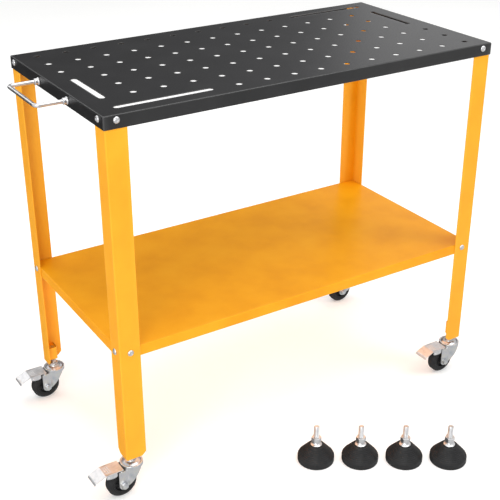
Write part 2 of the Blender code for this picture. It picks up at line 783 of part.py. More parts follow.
# ---------------------------------------------------------------- levelling feet
def foot_pad_mesh():
    pad = turned(
        "foot_pad",
        [
            (0.0, FOOT_SOCKET_FLOOR),
            (FOOT_SOCKET_RADIUS, FOOT_SOCKET_FLOOR),
            (FOOT_SOCKET_RADIUS, FOOT_PAD_HEIGHT - 0.0010),
            (FOOT_PAD_TOP_RADIUS - 0.0020, FOOT_PAD_HEIGHT),
            (FOOT_PAD_TOP_RADIUS, FOOT_PAD_HEIGHT - 0.0012),
            (FOOT_PAD_RADIUS - 0.0012, FOOT_RIM_HEIGHT + 0.0010),
            (FOOT_PAD_RADIUS, FOOT_RIM_HEIGHT),
            (FOOT_PAD_RADIUS, 0.0010),
            (FOOT_PAD_RADIUS - 0.0010, 0.0),
            (0.0, 0.0),
        ],
        FOOT_SIDES,
    )
    return bake(pad, RUBBER)


def foot_stud_mesh():
    """Threaded stud with its nut and flange, and the end that is held in the pad."""
    stud = turned(
        "foot_stud",
        [
            (0.0, FOOT_STUD_TOP),
            (STUD_RADIUS - 0.0010, FOOT_STUD_TOP),
            (STUD_RADIUS, FOOT_STUD_TOP - 0.0010),
            (STUD_RADIUS, 0.0490),
            (0.0070, 0.0455),
            (0.0125, 0.0430),
            (0.0125, FOOT_PAD_HEIGHT + GAP),
            (0.0080, FOOT_PAD_HEIGHT + GAP),
            (0.0080, FOOT_SOCKET_FLOOR + 2 * GAP),
            (0.0, FOOT_SOCKET_FLOOR + 2 * GAP),
        ],
        12,
    )
    join(stud, cylinder("foot_nut", 0.0110, (0, 0, 0.0550), 0.0110, 6))
    return bake(stud, CHROME)


def make_feet(frame):
    pad = foot_pad_mesh()
    stud = foot_stud_mesh()
    for number in range(4):
        x = FEET_START[0] + number * FEET_PITCH * math.cos(FEET_ROW_ANGLE)
        y = FEET_START[1] + number * FEET_PITCH * math.sin(FEET_ROW_ANGLE)
        lift = empty(f"foot_lift_{number + 1}", (x, y, 0), frame)
        place(f"levelling_foot_pad_{number + 1}", pad, lift)
        place(f"levelling_foot_stud_{number + 1}", stud, lift)


# ---------------------------------------------------------------- assembly
def centre_on_floor(frame):
    """Move the frame so that the origin is under the middle of the whole assembly's box."""
    bpy.context.view_layer.update()
    corners = []
    for obj in PARTS.objects:
        if obj.type == "MESH":
            corners += [obj.matrix_world @ vertex.co for vertex in obj.data.vertices]
    middle = []
    for axis in (0, 1):
        values = [corner[axis] for corner in corners]
        middle.append(round((min(values) + max(values)) / 2, 4))
    frame.location = (-middle[0], -middle[1], 0.0)


TABLE = empty("table_frame", (0, 0, 0))
make_top(TABLE)
make_shelf(TABLE)
make_legs(TABLE)
make_bolts(TABLE)
make_handle(TABLE)
make_casters(TABLE)
make_feet(TABLE)
centre_on_floor(TABLE)
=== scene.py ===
"""The finished looks of a rolling welding table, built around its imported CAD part.

Every piece is rebuilt finely at the place that the CAD gives it, and rides on its CAD body. Units are
metres and +Z is up. Pattern scales are worked out from sizes in millimetres.
"""

import math

import bmesh
import bpy
from mathutils import Matrix, Vector


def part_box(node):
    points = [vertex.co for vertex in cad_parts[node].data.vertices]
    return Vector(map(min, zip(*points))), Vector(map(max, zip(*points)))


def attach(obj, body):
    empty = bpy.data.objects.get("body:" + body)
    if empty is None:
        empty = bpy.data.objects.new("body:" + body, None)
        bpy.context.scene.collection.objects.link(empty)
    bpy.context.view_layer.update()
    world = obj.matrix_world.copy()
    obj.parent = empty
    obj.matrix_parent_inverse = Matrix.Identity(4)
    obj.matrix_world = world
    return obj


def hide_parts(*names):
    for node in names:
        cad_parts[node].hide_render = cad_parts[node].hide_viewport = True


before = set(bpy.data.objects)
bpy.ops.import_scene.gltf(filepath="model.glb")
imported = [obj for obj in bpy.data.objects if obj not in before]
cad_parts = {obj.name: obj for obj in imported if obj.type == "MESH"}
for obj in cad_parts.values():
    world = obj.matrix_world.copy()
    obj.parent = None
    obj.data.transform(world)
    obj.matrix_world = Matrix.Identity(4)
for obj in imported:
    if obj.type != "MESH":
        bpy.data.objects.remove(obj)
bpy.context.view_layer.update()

# ---------------------------------------------------------------- driving dimensions
TOP_SHEET = 0.0015
SHELF_SHEET = 0.0012
TOP_FLANGE_DEPTH = 0.026
SHELF_FLANGE_DEPTH = 0.0225
BEND_RADIUS = 0.0025
LIP_ROUND = 0.0004               # rounding of a sheet's cut edge under its coat

HOLE_PITCH = 0.0635
HOLE_RADIUS = 0.00635
HOLE_COLUMNS = 14
HOLE_ROWS = 7
CELL_STEPS = 12                  # steps along one side of the square of sheet round a hole
WHOLE_GRID = (0, 13, 0, 6)

# Each slot takes the place of a run of holes: first and last column, first and last row.
SLOTS = (
    (0, 3, 0, 0),
    (10, 13, 6, 6),
    (0, 0, 1, 3),
    (13, 13, 3, 5),
)

LONG_SIDE_FLANGE = 0.0445        # legs, along the table's long sides
SHORT_SIDE_FLANGE = 0.040        # legs, along the table's short sides
LEG_SHEET = 0.002
LEG_CORNER_RADIUS = 0.003
LEG_CHAMFER = 0.009
STEM_INSET = 0.017               # caster stem, from the leg's outer faces
SOCKET_SIZE = 0.026
SOCKET_SHEET = 0.0025
SOCKET_DEPTH = 0.0315
SOCKET_TOP = 0.1295
SOCKET_HOLE_RADIUS = 0.0063

BOLT_HEAD_RADIUS = 0.0066
BOLT_HEAD_HEIGHT = 0.0038
BOLT_SHANK_RADIUS = 0.0030
BOLT_GRIP = 0.0044
BOLT_LENGTH = 0.0112
NUT_FLATS = 0.0100
NUT_THICKNESS = 0.0046

HANDLE_ROD_RADIUS = 0.004
HANDLE_BEND_RADIUS = 0.009

WHEEL_RADIUS = 0.0327            # a hair under the axle height, so that the tread clears the floor
AXLE_HEIGHT = 0.032717
CASTER_TRAIL = 0.026
CORE_RADIUS = 0.0207
HUB_HALF_WIDTH = 0.0138
AXLE_RADIUS = 0.004

CROWN_RADIUS = 0.024
CROWN_BOTTOM = 0.0665
CROWN_FLOOR = 0.0707
CROWN_RIM = 0.0757
CHEEK_OUTER = 0.017
CHEEK_SHEET = 0.002
CHEEK_FRONT = 0.0130
CHEEK_BULGE = 0.0238
CHEEK_END_RADIUS = 0.0105

STUD_RADIUS = 0.0059
STUD_THREAD = 0.00175            # pitch of an M12 thread
STEM_TOP = 0.1280

PEDAL_HALF_WIDTH = 0.018
PEDAL_SHEET = 0.0016
PEDAL_TOP = 0.0731
PEDAL_PIN = (-0.030, 0.0667)     # x and z of the pin, from the foot of the swivel axis

FOOT_PAD_RADIUS = 0.040
FOOT_RIM_HEIGHT = 0.013
FOOT_PAD_HEIGHT = 0.040
FOOT_PAD_TOP_RADIUS = 0.0175
FOOT_STUD_TOP = 0.088

DARK_WALL_SIDE = (0.05, 0.96, -0.25)    # direction of the room's dark wall, low behind the table
PALE_ROOM = (1.45, 1.45, 1.45, 1.0)
FLOOR_HALF = 14.0

CORNERS = (
    ("front_left", -1, -1, 0),
    ("front_right", 1, -1, 90),
    ("rear_right", 1, 1, 180),
    ("rear_left", -1, 1, 270),
)


# ---------------------------------------------------------------- materials
def from_hex(code):
    """An sRGB hex colour as linear red, green, blue and alpha."""
    channels = []
    for start in (1, 3, 5):
        value = int(code[start : start + 2], 16) / 255
        channels.append(value / 12.92 if value <= 0.04045 else ((value + 0.055) / 1.055) ** 2.4)
    return (*channels, 1.0)


def add_node(tree, kind, settings, links):
    """A node of that kind with its settings made and its inputs linked."""
    node = tree.nodes.new(kind)
    for name, value in settings.items():
        if isinstance(name, int) or name in node.inputs:
            node.inputs[name].default_value = value
        else:
            setattr(node, name, value)
    for name, socket in links.items():
        tree.links.new(socket, node.inputs[name])
    return node


def new_finish(name):
    """An empty finish: its material, its node tree, its shader and the piece's own coordinates."""
    material = bpy.data.materials.new(name)
    material.use_nodes = True
    tree = material.node_tree
    shader = tree.nodes["Principled BSDF"]
    place = add_node(tree, "ShaderNodeTexCoord", {}, {}).outputs["Object"]
    return material, tree, shader, place


def set_ramp(node, stops):
    """Gives a colour ramp its stops of (position, hex colour)."""
    elements = node.color_ramp.elements
    while len(elements) < len(stops):
        elements.new(0.5)
    for element, (position, code) in zip(elements, stops):
        element.position = position
        element.color = from_hex(code)


def spread(tree, value, low, high):
    """Carries a 0 to 1 value over to a range of its own."""
    node = add_node(tree, "ShaderNodeMapRange", {"To Min": low, "To Max": high}, {"Value": value})
    return node.outputs["Result"]


def powder_coat(name, deep, main, pale, painted_edge_highlight, roughness, gloss):
    """Polyester powder coat, sprayed dry and baked.

    It flows into a satin skin with a faint orange peel and goes a shade deeper where the coat pools. Its
    rounded edges carry a painted highlight, a paler colour mixed in where the mesh is pointy. Gloss is how
    strongly the skin mirrors light.
    """
    material, tree, shader, place = new_finish(name)
    # Film thickness drifts over 90 mm; peel is 2 mm in life and drawn at 3 mm; grain is 0.5 mm.
    drift = add_node(tree, "ShaderNodeTexNoise", {"Scale": 11.0, "Detail": 3.0}, {"Vector": place})
    peel = add_node(tree, "ShaderNodeTexNoise", {"Scale": 330.0, "Detail": 1.5}, {"Vector": place})
    grain = add_node(tree, "ShaderNodeTexNoise", {"Scale": 2000.0, "Detail": 1.0}, {"Vector": place})
    shade = add_node(tree, "ShaderNodeValToRGB", {}, {"Fac": drift.outputs["Fac"]})
    set_ramp(shade, [(0.30, deep), (0.52, main), (0.75, pale)])
    surface = add_node(tree, "ShaderNodeNewGeometry", {}, {})
    # Painted highlight: the rounded edges, found by pointiness, are mixed towards the pale highlight colour.
    edge = add_node(
        tree,
        "ShaderNodeMapRange",
        {"From Min": 0.515, "From Max": 0.56, "To Max": 0.60},
        {"Value": surface.outputs["Pointiness"]},
    )
    edge_highlighted = add_node(
        tree,
        "ShaderNodeMix",
        {"data_type": "RGBA"},
        {"Factor": edge.outputs["Result"]},
    )
    tree.links.new(shade.outputs["Color"], edge_highlighted.inputs[6])
    edge_highlighted.inputs[7].default_value = from_hex(painted_edge_highlight)
    tree.links.new(edge_highlighted.outputs[2], shader.inputs["Base Color"])
    mottle = add_node(
        tree,
        "ShaderNodeMath",
        {"operation": "MULTIPLY"},
        {0: peel.outputs["Fac"], 1: spread(tree, drift.outputs["Fac"], 0.8, 1.2)},
    )
    satin = spread(tree, mottle.outputs["Value"], roughness - 0.09, roughness + 0.09)
    tree.links.new(satin, shader.inputs["Roughness"])
    shader.inputs["Specular IOR Level"].default_value = gloss
    skin = add_node(
        tree,
        "ShaderNodeBump",
        {"Strength": 0.22, "Distance": 0.0002},
        {"Height": peel.outputs["Fac"]},
    )
    skin = add_node(
        tree,
        "ShaderNodeBump",
        {"Strength": 0.10, "Distance": 0.00006},
        {"Height": grain.outputs["Fac"], "Normal": skin.outputs["Normal"]},
    )
    tree.links.new(skin.outputs["Normal"], shader.inputs["Normal"])
    return material


def chrome_plate(name, low, high):
    """Chrome on steel, plated and buffed: low and high are the limits of its roughness.

    It is a soft bright mirror, bloomed by handling marks, with the long ripple of the steel under it.
    """
    material, tree, shader, place = new_finish(name)
    # Smears are about 12 mm across and the ripple about 20 mm; buffing lines are 0.4 mm apart.
    smear = add_node(tree, "ShaderNodeTexNoise", {"Scale": 85.0, "Detail": 4.0}, {"Vector": place})
    ripple = add_node(tree, "ShaderNodeTexNoise", {"Scale": 50.0, "Detail": 1.0}, {"Vector": place})
    buffing = add_node(tree, "ShaderNodeTexNoise", {"Scale": 2500.0, "Detail": 1.0}, {"Vector": place})
    tone = add_node(tree, "ShaderNodeValToRGB", {}, {"Fac": smear.outputs["Fac"]})
    set_ramp(tone, [(0.30, "#D2D3D5"), (0.55, "#E6E6E7"), (0.80, "#F0F0EF")])
    tree.links.new(tone.outputs["Color"], shader.inputs["Base Color"])
    shader.inputs["Metallic"].default_value = 1.0
    tree.links.new(spread(tree, smear.outputs["Fac"], low, high), shader.inputs["Roughness"])
    wave = add_node(
        tree,
        "ShaderNodeBump",
        {"Strength": 0.25, "Distance": 0.0004},
        {"Height": ripple.outputs["Fac"]},
    )
    wave = add_node(
        tree,
        "ShaderNodeBump",
        {"Strength": 0.05, "Distance": 0.00002},
        {"Height": buffing.outputs["Fac"], "Normal": wave.outputs["Normal"]},
    )
    tree.links.new(wave.outputs["Normal"], shader.inputs["Normal"])
    return material


def zinc_plate(name):
    """Bright passivated zinc on pressed and rolled steel.

    It is a soft grey mirror, grained by the press, with fine crystal flecks and a thin blue and straw
    tint that drifts over the surface.
    """
    material, tree, shader, place = new_finish(name)
    # Flecks are 1.2 mm, the tint drifts over 18 mm, and the rolling grain is 0.3 mm across and 6 mm long.
    fleck = add_node(tree, "ShaderNodeTexVoronoi", {"Scale": 800.0}, {"Vector": place})
    tint = add_node(tree, "ShaderNodeTexNoise", {"Scale": 55.0, "Detail": 2.0}, {"Vector": place})
    stretched = add_node(
        tree, "ShaderNodeMapping", {"Scale": (160.0, 3300.0, 3300.0)}, {"Vector": place}
    )
    rolling = add_node(
        tree,
        "ShaderNodeTexNoise",
        {"Scale": 1.0, "Detail": 2.0},
        {"Vector": stretched.outputs["Vector"]},
    )
    tone = add_node(tree, "ShaderNodeValToRGB", {}, {"Fac": tint.outputs["Fac"]})
    set_ramp(tone, [(0.32, "#C3C7CC"), (0.50, "#D4D5D7"), (0.72, "#DFDDD6")])
    flecked = add_node(tree, "ShaderNodeMix", {"data_type": "RGBA", "blend_type": "OVERLAY"}, {})
    flecked.inputs["Factor"].default_value = 0.10
    tree.links.new(tone.outputs["Color"], flecked.inputs[6])
    tree.links.new(fleck.outputs["Color"], flecked.inputs[7])
    tree.links.new(flecked.outputs[2], shader.inputs["Base Color"])
    shader.inputs["Metallic"].default_value = 1.0
    satin = spread(tree, rolling.outputs["Fac"], 0.22, 0.42)
    tree.links.new(satin, shader.inputs["Roughness"])
    grain = add_node(
        tree,
        "ShaderNodeBump",
        {"Strength": 0.12, "Distance": 0.00004},
        {"Height": rolling.outputs["Fac"]},
    )
    tree.links.new(grain.outputs["Normal"], shader.inputs["Normal"])
    return material


def moulded(name, deep, main, pale, low, high, grain_scale, relief):
    """Moulded black rubber or nylon: eroded mould grain, with a dull bloom in soft patches.

    Its mirror is weaker than a paint's, so that it stays dark against a pale floor.
    """
    material, tree, shader, place = new_finish(name)
    bloom = add_node(tree, "ShaderNodeTexNoise", {"Scale": 70.0, "Detail": 5.0}, {"Vector": place})
    grain = add_node(
        tree, "ShaderNodeTexNoise", {"Scale": grain_scale, "Detail": 2.0}, {"Vector": place}
    )
    shade = add_node(tree, "ShaderNodeValToRGB", {}, {"Fac": bloom.outputs["Fac"]})
    set_ramp(shade, [(0.35, deep), (0.52, main), (0.78, pale)])
    tree.links.new(shade.outputs["Color"], shader.inputs["Base Color"])
    tree.links.new(spread(tree, bloom.outputs["Fac"], low, high), shader.inputs["Roughness"])
    shader.inputs["Specular IOR Level"].default_value = 0.30
    skin = add_node(
        tree,
        "ShaderNodeBump",
        {"Strength": 0.30, "Distance": relief},
        {"Height": grain.outputs["Fac"]},
    )
    tree.links.new(skin.outputs["Normal"], shader.inputs["Normal"])
    return material


# The fourth colour given to each coat is its painted highlight along the rounded edges.
BLACK_COAT = powder_coat("satin_black_powder_coat", "#19191A", "#1C1C1D", "#212122", "#7A7A7B", 0.36, 0.50)
ORANGE_COAT = powder_coat("satin_orange_powder_coat", "#E5950B", "#EC9D10", "#F0A317", "#F7B53C", 0.40, 0.18)
CHROME = chrome_plate("bright_chrome_plate", 0.24, 0.42)
# The pedals are plated straight over the pressed steel, which leaves them duller.
SATIN_CHROME = chrome_plate("satin_chrome_plate", 0.34, 0.52)
ZINC = zinc_plate("bright_zinc_plate")
# Tread and pad rubber: 0.7 mm mould grain and a grey bloom that lifts it off pure black.
TREAD_RUBBER = moulded("moulded_tread_rubber", "#1C1C1D", "#232324", "#2D2D2E", 0.50, 0.72, 1400.0, 0.00008)
FOOT_RUBBER = moulded("moulded_foot_rubber", "#1B1B1C", "#222223", "#2B2B2C", 0.45, 0.66, 1400.0, 0.00008)
# Glass-filled nylon: a harder, slightly shinier skin with a 0.5 mm spark-eroded grain.
NYLON = moulded("moulded_black_nylon", "#1A1A1B", "#202021", "#29292A", 0.34, 0.52, 2000.0, 0.00005)


# ---------------------------------------------------------------- mesh helpers
def filleted(corners, steps=5, closed=False):
    """A line through (x, y, fillet radius) corners, with each corner rounded to its radius."""
    points = []
    for index, (x, y, fillet) in enumerate(corners):
        at_end = not closed and index in (0, len(corners) - 1)
        if fillet == 0 or at_end:
            points.append((x, y))
            continue
        here = Vector((x, y))
        before = (Vector(corners[index - 1][:2]) - here).normalized()
        after = (Vector(corners[(index + 1) % len(corners)][:2]) - here).normalized()
        half = before.angle(after) / 2
        centre = here + (before + after).normalized() * (fillet / math.sin(half))
        start = here + before * (fillet / math.tan(half)) - centre
        end = here + after * (fillet / math.tan(half)) - centre
        first = math.atan2(start.y, start.x)
        turn = (math.atan2(end.y, end.x) - first + math.pi) % (2 * math.pi) - math.pi
        for step in range(steps + 1):
            angle = first + turn * step / steps
            points.append((centre.x + fillet * math.cos(angle), centre.y + fillet * math.sin(angle)))
    return points


def join_rows(bm, row, following, closed=True):
    """Faces between two rows of vertices of equal count, or between a row and a single vertex."""
    count = max(len(row), len(following))
    for index in range(count if closed else count - 1):
        ahead = (index + 1) % count
        corners = []
        for line, place in ((row, index), (row, ahead), (following, ahead), (following, index)):
            vertex = line[place if len(line) > 1 else 0]
            if vertex not in corners:
                corners.append(vertex)
        bm.faces.new(corners)


def lathe(bm, profile, segments, closed=False):
    """Spins a profile of (radius, height) points about Z."""
    rows = []
    for radius, height in profile:
        turns = [2 * math.pi * step / segments for step in range(segments if radius > 0 else 1)]
        rows.append([bm.verts.new((radius * math.cos(t), radius * math.sin(t), height)) for t in turns])
    for row, following in zip(rows, rows[1:]):
        join_rows(bm, row, following)
    if closed:
        join_rows(bm, rows[-1], rows[0])
    return [vertex for row in rows for vertex in row]


def hexagon(bm, flats, low, high):
    """A hexagonal nut or head, chamfered at both ends as a cone cuts it."""
    steps = 48
    apothem = flats / 2
    chamfer = math.tan(math.radians(28))
    outline = []
    for step in range(steps):
        turn = 2 * math.pi * step / steps
        off_flat = (turn + math.pi / 6) % (math.pi / 3) - math.pi / 6
        outline.append((turn, apothem / math.cos(off_flat)))
    face_radius = apothem * 0.96
    rows = []
    for height, inward in ((low, 1), (high, -1)):
        flat = [(turn, face_radius, height) for turn, _ in outline]
        cut = [(turn, radius, height + inward * (radius - face_radius) * chamfer) for turn, radius in outline]
        rows += [flat, cut] if inward > 0 else [cut, flat]
    made = []
    for row in rows:
        made.append([bm.verts.new((r * math.cos(turn), r * math.sin(turn), z)) for turn, r, z in row])
    for row, following in zip(made, made[1:]):
        join_rows(bm, row, following)
    bm.faces.new(made[0])
    bm.faces.new(made[-1])
    return [vertex for row in made for vertex in row]


def thread(bm, radius, pitch, low, high, segments=32):
    """A single-start rolled thread about Z, with its crests at the radius."""
    rows_per_turn = 6
    depth = 0.55 * pitch
    count = int((high - low) / pitch * rows_per_turn)
    rows = []
    for index in range(count + 1):
        height = low + (high - low) * index / count
        row = []
        for step in range(segments):
            phase = (height / pitch - step / segments) % 1.0
            crest = 1 - abs(2 * phase - 1)
            here = radius - depth * (1 - min(1.0, crest * 1.25))
            turn = 2 * math.pi * step / segments
            row.append(bm.verts.new((here * math.cos(turn), here * math.sin(turn), height)))
        rows.append(row)
    for row, following in zip(rows, rows[1:]):
        join_rows(bm, row, following)
    bm.faces.new(rows[-1])
    return [vertex for row in rows for vertex in row]


def capsule(bm, radius, start, end, squash=1.0):
    """A round-ended bar between two points, its section flattened in Z by squash."""
    start, end = Vector(start), Vector(end)
    length = (end - start).length
    profile = []
    for step in range(7):
        turn = math.radians(90 - 15 * step)
        profile.append((radius * math.cos(turn), length + radius * math.sin(turn)))
    profile += [(r, length - z) for r, z in reversed(profile)]
    profile[0] = (0.0, profile[0][1])
    profile[-1] = (0.0, profile[-1][1])
    verts = lathe(bm, profile, 16)
    turn = (end - start).to_track_quat("Z", "Y").to_matrix().to_4x4()
    bmesh.ops.transform(bm, matrix=Matrix.Translation(start) @ turn, verts=verts)
    for vertex in verts:
        vertex.co.z = start.z + (vertex.co.z - start.z) * squash
    return verts


def finished_mesh(name, bm, material, sheet=0.0, bevel=0.0, sharp_angle=50):
    """The mesh with its sheet thickness and edge rounding made, ready to be placed any number of times."""
    bmesh.ops.remove_doubles(bm, verts=bm.verts, dist=0.000001)
    bmesh.ops.recalc_face_normals(bm, faces=bm.faces)
    mesh = bpy.data.meshes.new(name)
    bm.to_mesh(mesh)
    bm.free()
    mesh.materials.append(material)
    mesh.shade_smooth()
    if not bevel:
        mesh.set_sharp_from_angle(angle=math.radians(sharp_angle))
    blank = bpy.data.objects.new(name + "_blank", mesh)
    bpy.context.scene.collection.objects.link(blank)
    if sheet:
        solidify = blank.modifiers.new("sheet", "SOLIDIFY")
        solidify.thickness = sheet
        solidify.offset = -1
        solidify.use_even_offset = True
    if bevel:
        rounding = blank.modifiers.new("rounding", "BEVEL")
        rounding.width = bevel
        rounding.segments = 3
        rounding.limit_method = "ANGLE"
        rounding.angle_limit = math.radians(38)
        rounding.harden_normals = False
    flats = blank.modifiers.new("flats", "WEIGHTED_NORMAL")
    flats.keep_sharp = True
    bpy.context.view_layer.update()
    evaluated = blank.evaluated_get(bpy.context.evaluated_depsgraph_get())
    finished = bpy.data.meshes.new_from_object(evaluated)
    finished.name = name
    bpy.data.objects.remove(blank, do_unlink=True)
    return finished


def place(name, mesh, slot, body, location, turn=(0, 0, 0), stands_for=()):
    """Puts a piece in the world, on its body, in the place of its CAD nodes. The turn is in degrees."""
    piece = bpy.data.objects.new(name, mesh)
    bpy.context.scene.collection.objects.link(piece)
    piece.location = location
    piece.rotation_euler = [math.radians(angle) for angle in turn]
    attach(piece, body)
    if stands_for:
        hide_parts(*stands_for)
    return piece


def middle_of(node):
    """The middle of a CAD node's box."""
    low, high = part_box(node)
    return (low + high) / 2


# ---------------------------------------------------------------- places that the CAD gives
TOP_LOW, TOP_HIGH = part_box("table_top")
SHELF_LOW, SHELF_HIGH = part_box("lower_shelf")
TABLE_X = (TOP_LOW.x + TOP_HIGH.x) / 2
TABLE_Y = (TOP_LOW.y + TOP_HIGH.y) / 2
TOP_HALF = ((TOP_HIGH.x - TOP_LOW.x) / 2, (TOP_HIGH.y - TOP_LOW.y) / 2)
SHELF_HALF = ((SHELF_HIGH.x - SHELF_LOW.x) / 2, (SHELF_HIGH.y - SHELF_LOW.y) / 2)


# ---------------------------------------------------------------- trays: the top and the shelf
def edge_places(first, last):
    """Places along a run of cells, in pitches, where lines from each hole's centre meet the cell's edge."""
    places = []
    for cell in range(first, last + 1):
        for step in range(CELL_STEPS):
            angle = math.radians(90 * step / CELL_STEPS - 45)
            places.append(cell + math.tan(angle) / 2)
    return places


def block_outline(block):
    """Points round a block of cells, counter-clockwise from its lowest corner."""
    first_column, last_column, first_row, last_row = block
    low_x, high_x = first_column - 0.5, last_column + 0.5
    low_y, high_y = first_row - 0.5, last_row + 0.5
    along = edge_places(first_column, last_column)
    across = edge_places(first_row, last_row)
    outline = [(x, low_y) for x in along]
    outline += [(high_x, y) for y in across]
    outline += [(low_x + high_x - x, high_y) for x in along]
    outline += [(low_x, low_y + high_y - y) for y in across]
    return [grid_place(x, y) for x, y in outline]


def grid_place(column, row):
    """Where a column and a row of the hole grid cross, from the middle of the top."""
    x = (column - (HOLE_COLUMNS - 1) / 2) * HOLE_PITCH
    y = (row - (HOLE_ROWS - 1) / 2) * HOLE_PITCH
    return Vector((x, y))


def add_opening(bm, block):
    """The sheet round one hole, or round one slot that runs over several cells, with a rolled rim."""
    first_column, last_column, first_row, last_row = block
    start = grid_place(first_column, first_row)
    run = grid_place(last_column, last_row) - start
    rim = filleted(
        [
            (0.0030, 0.0, 0.0),
            (0.0, 0.0, LIP_ROUND),
            (0.0, -TOP_SHEET, LIP_ROUND),
            (0.0030, -TOP_SHEET, 0.0),
        ],
        steps=3,
    )
    outline = block_outline(block)
    rows = [[bm.verts.new((*point, 0.0)) for point in outline]]
    for beyond, height in rim:
        row = []
        for point in outline:
            share = 0.0
            if run.length > 0:
                share = min(1.0, max(0.0, (point - start).dot(run) / run.length_squared))
            centre = start + run * share
            edge = centre + (point - centre).normalized() * (HOLE_RADIUS + beyond)
            row.append(bm.verts.new((*edge, height)))
        rows.append(row)
    rows.append([bm.verts.new((*point, -TOP_SHEET)) for point in outline])
    for row, following in zip(rows, rows[1:]):
        join_rows(bm, row, following)


def edge_samples(outline, bend_x, bend_y):
    """For each point of a rectangular outline: itself, the start of the bend beyond it, and two ways out.

    The first way is square to the edge and swings round at a corner. The second is for rows short of
    the bend, which meet in a mitre there.
    """
    reach_x = max(point.x for point in outline)
    reach_y = max(point.y for point in outline)
    corner_turns = {(-1, -1): 180, (1, -1): 270, (1, 1): 0, (-1, 1): 90}

    def sample(point, turn):
        out = Vector((round(math.cos(math.radians(turn))), round(math.sin(math.radians(turn)))))
        start = Vector((out.x * bend_x, point.y)) if out.x else Vector((point.x, out.y * bend_y))
        return point, start, out, out

    samples = []
    for point in outline:
        on_x = abs(abs(point.x) - reach_x) < 1e-6
        on_y = abs(abs(point.y) - reach_y) < 1e-6
        side_x = 1 if point.x > 0 else -1
        side_y = 1 if point.y > 0 else -1
        if on_x and on_y:
            first = corner_turns[(side_x, side_y)]
            samples.append(sample(point, first))
            for step in range(9):
                turn = math.radians(first + 90 * step / 8)
                corner = Vector((side_x * bend_x, side_y * bend_y))
                swung = Vector((math.cos(turn), math.sin(turn)))
                samples.append((point, corner, swung, Vector((side_x, side_y))))
            samples.append(sample(point, first + 90))
        elif on_y:
            samples.append(sample(point, 90 * side_y))
        else:
            samples.append(sample(point, 0 if side_x > 0 else 180))
    return samples


def add_turned_edge(bm, outline, half, depth, sheet):
    """The margin, bend and flange of a tray, carried outwards from the outline of its flat part."""
    inner_bend = BEND_RADIUS - sheet
    profile = filleted(
        [
            (-0.0015, 0.0, 0.0),
            (-0.0005, 0.0, 0.0),
            (BEND_RADIUS, 0.0, BEND_RADIUS),
            (BEND_RADIUS, -depth, LIP_ROUND),
            (inner_bend, -depth, LIP_ROUND),
            (inner_bend, -sheet, inner_bend),
            (-0.0005, -sheet, 0.0),
            (-0.0015, -sheet, 0.0),
        ],
        steps=6,
    )
    samples = edge_samples(outline, half[0] - BEND_RADIUS, half[1] - BEND_RADIUS)
    rows = [[bm.verts.new((*point, 0.0)) for point, *_ in samples]]
    for out, height in profile:
        row = []
        for _, start, way, mitre in samples:
            row.append(bm.verts.new((*(start + (way if out > 0 else mitre) * out), height)))
        rows.append(row)
    rows.append([bm.verts.new((*point, -sheet)) for point, *_ in samples])
    for row, following in zip(rows, rows[1:]):
        join_rows(bm, row, following)


def make_top():
    """The perforated top: cells of sheet round the holes and slots, then the turned-down edge."""
    bm = bmesh.new()
    for block in SLOTS:
        add_opening(bm, block)
    for column in range(HOLE_COLUMNS):
        for row in range(HOLE_ROWS):
            in_slot = [a <= column <= b and c <= row <= d for a, b, c, d in SLOTS]
            if not any(in_slot):
                add_opening(bm, (column, column, row, row))
    add_turned_edge(bm, block_outline(WHOLE_GRID), TOP_HALF, TOP_FLANGE_DEPTH, TOP_SHEET)
    mesh = finished_mesh("perforated_top", bm, BLACK_COAT)
    where = (TABLE_X, TABLE_Y, TOP_HIGH.z)
    place("perforated_top", mesh, "black_powder_coat", "table", where, stands_for=["table_top"])


def make_shelf():
    """The plain lower tray."""
    bm = bmesh.new()
    inset = 0.012
    x, y = SHELF_HALF[0] - inset, SHELF_HALF[1] - inset
    outline = [Vector(corner) for corner in ((-x, -y), (x, -y), (x, y), (-x, y))]
    add_turned_edge(bm, outline, SHELF_HALF, SHELF_FLANGE_DEPTH, SHELF_SHEET)
    for height in (0.0, -SHELF_SHEET):
        bm.faces.new([bm.verts.new((*corner, height)) for corner in outline])
    mesh = finished_mesh("shelf_tray", bm, ORANGE_COAT)
    where = (TABLE_X, TABLE_Y, SHELF_HIGH.z)
    place("shelf_tray", mesh, "orange_powder_coat", "table", where, stands_for=["lower_shelf"])


# ---------------------------------------------------------------- legs
def leg_mesh(low, high, flange_x, flange_y):
    """An angle with its corner at the origin, its free edges chamfered at the foot."""
    path = filleted(
        [
            (flange_x, 0.0, 0.0),
            (flange_x - LEG_CHAMFER, 0.0, 0.0),
            (0.0, 0.0, LEG_CORNER_RADIUS),
            (0.0, flange_y - LEG_CHAMFER, 0.0),
            (0.0, flange_y, 0.0),
        ],
        steps=6,
    )
    bm = bmesh.new()
    foot = []
    head = []
    for x, y in path:
        at_edge = x > flange_x - 0.001 or y > flange_y - 0.001
        foot.append(bm.verts.new((x, y, low + (LEG_CHAMFER if at_edge else 0.0))))
        head.append(bm.verts.new((x, y, high)))
    join_rows(bm, foot, head, closed=False)
    return finished_mesh("leg_angle", bm, ORANGE_COAT, sheet=LEG_SHEET, bevel=0.0005)


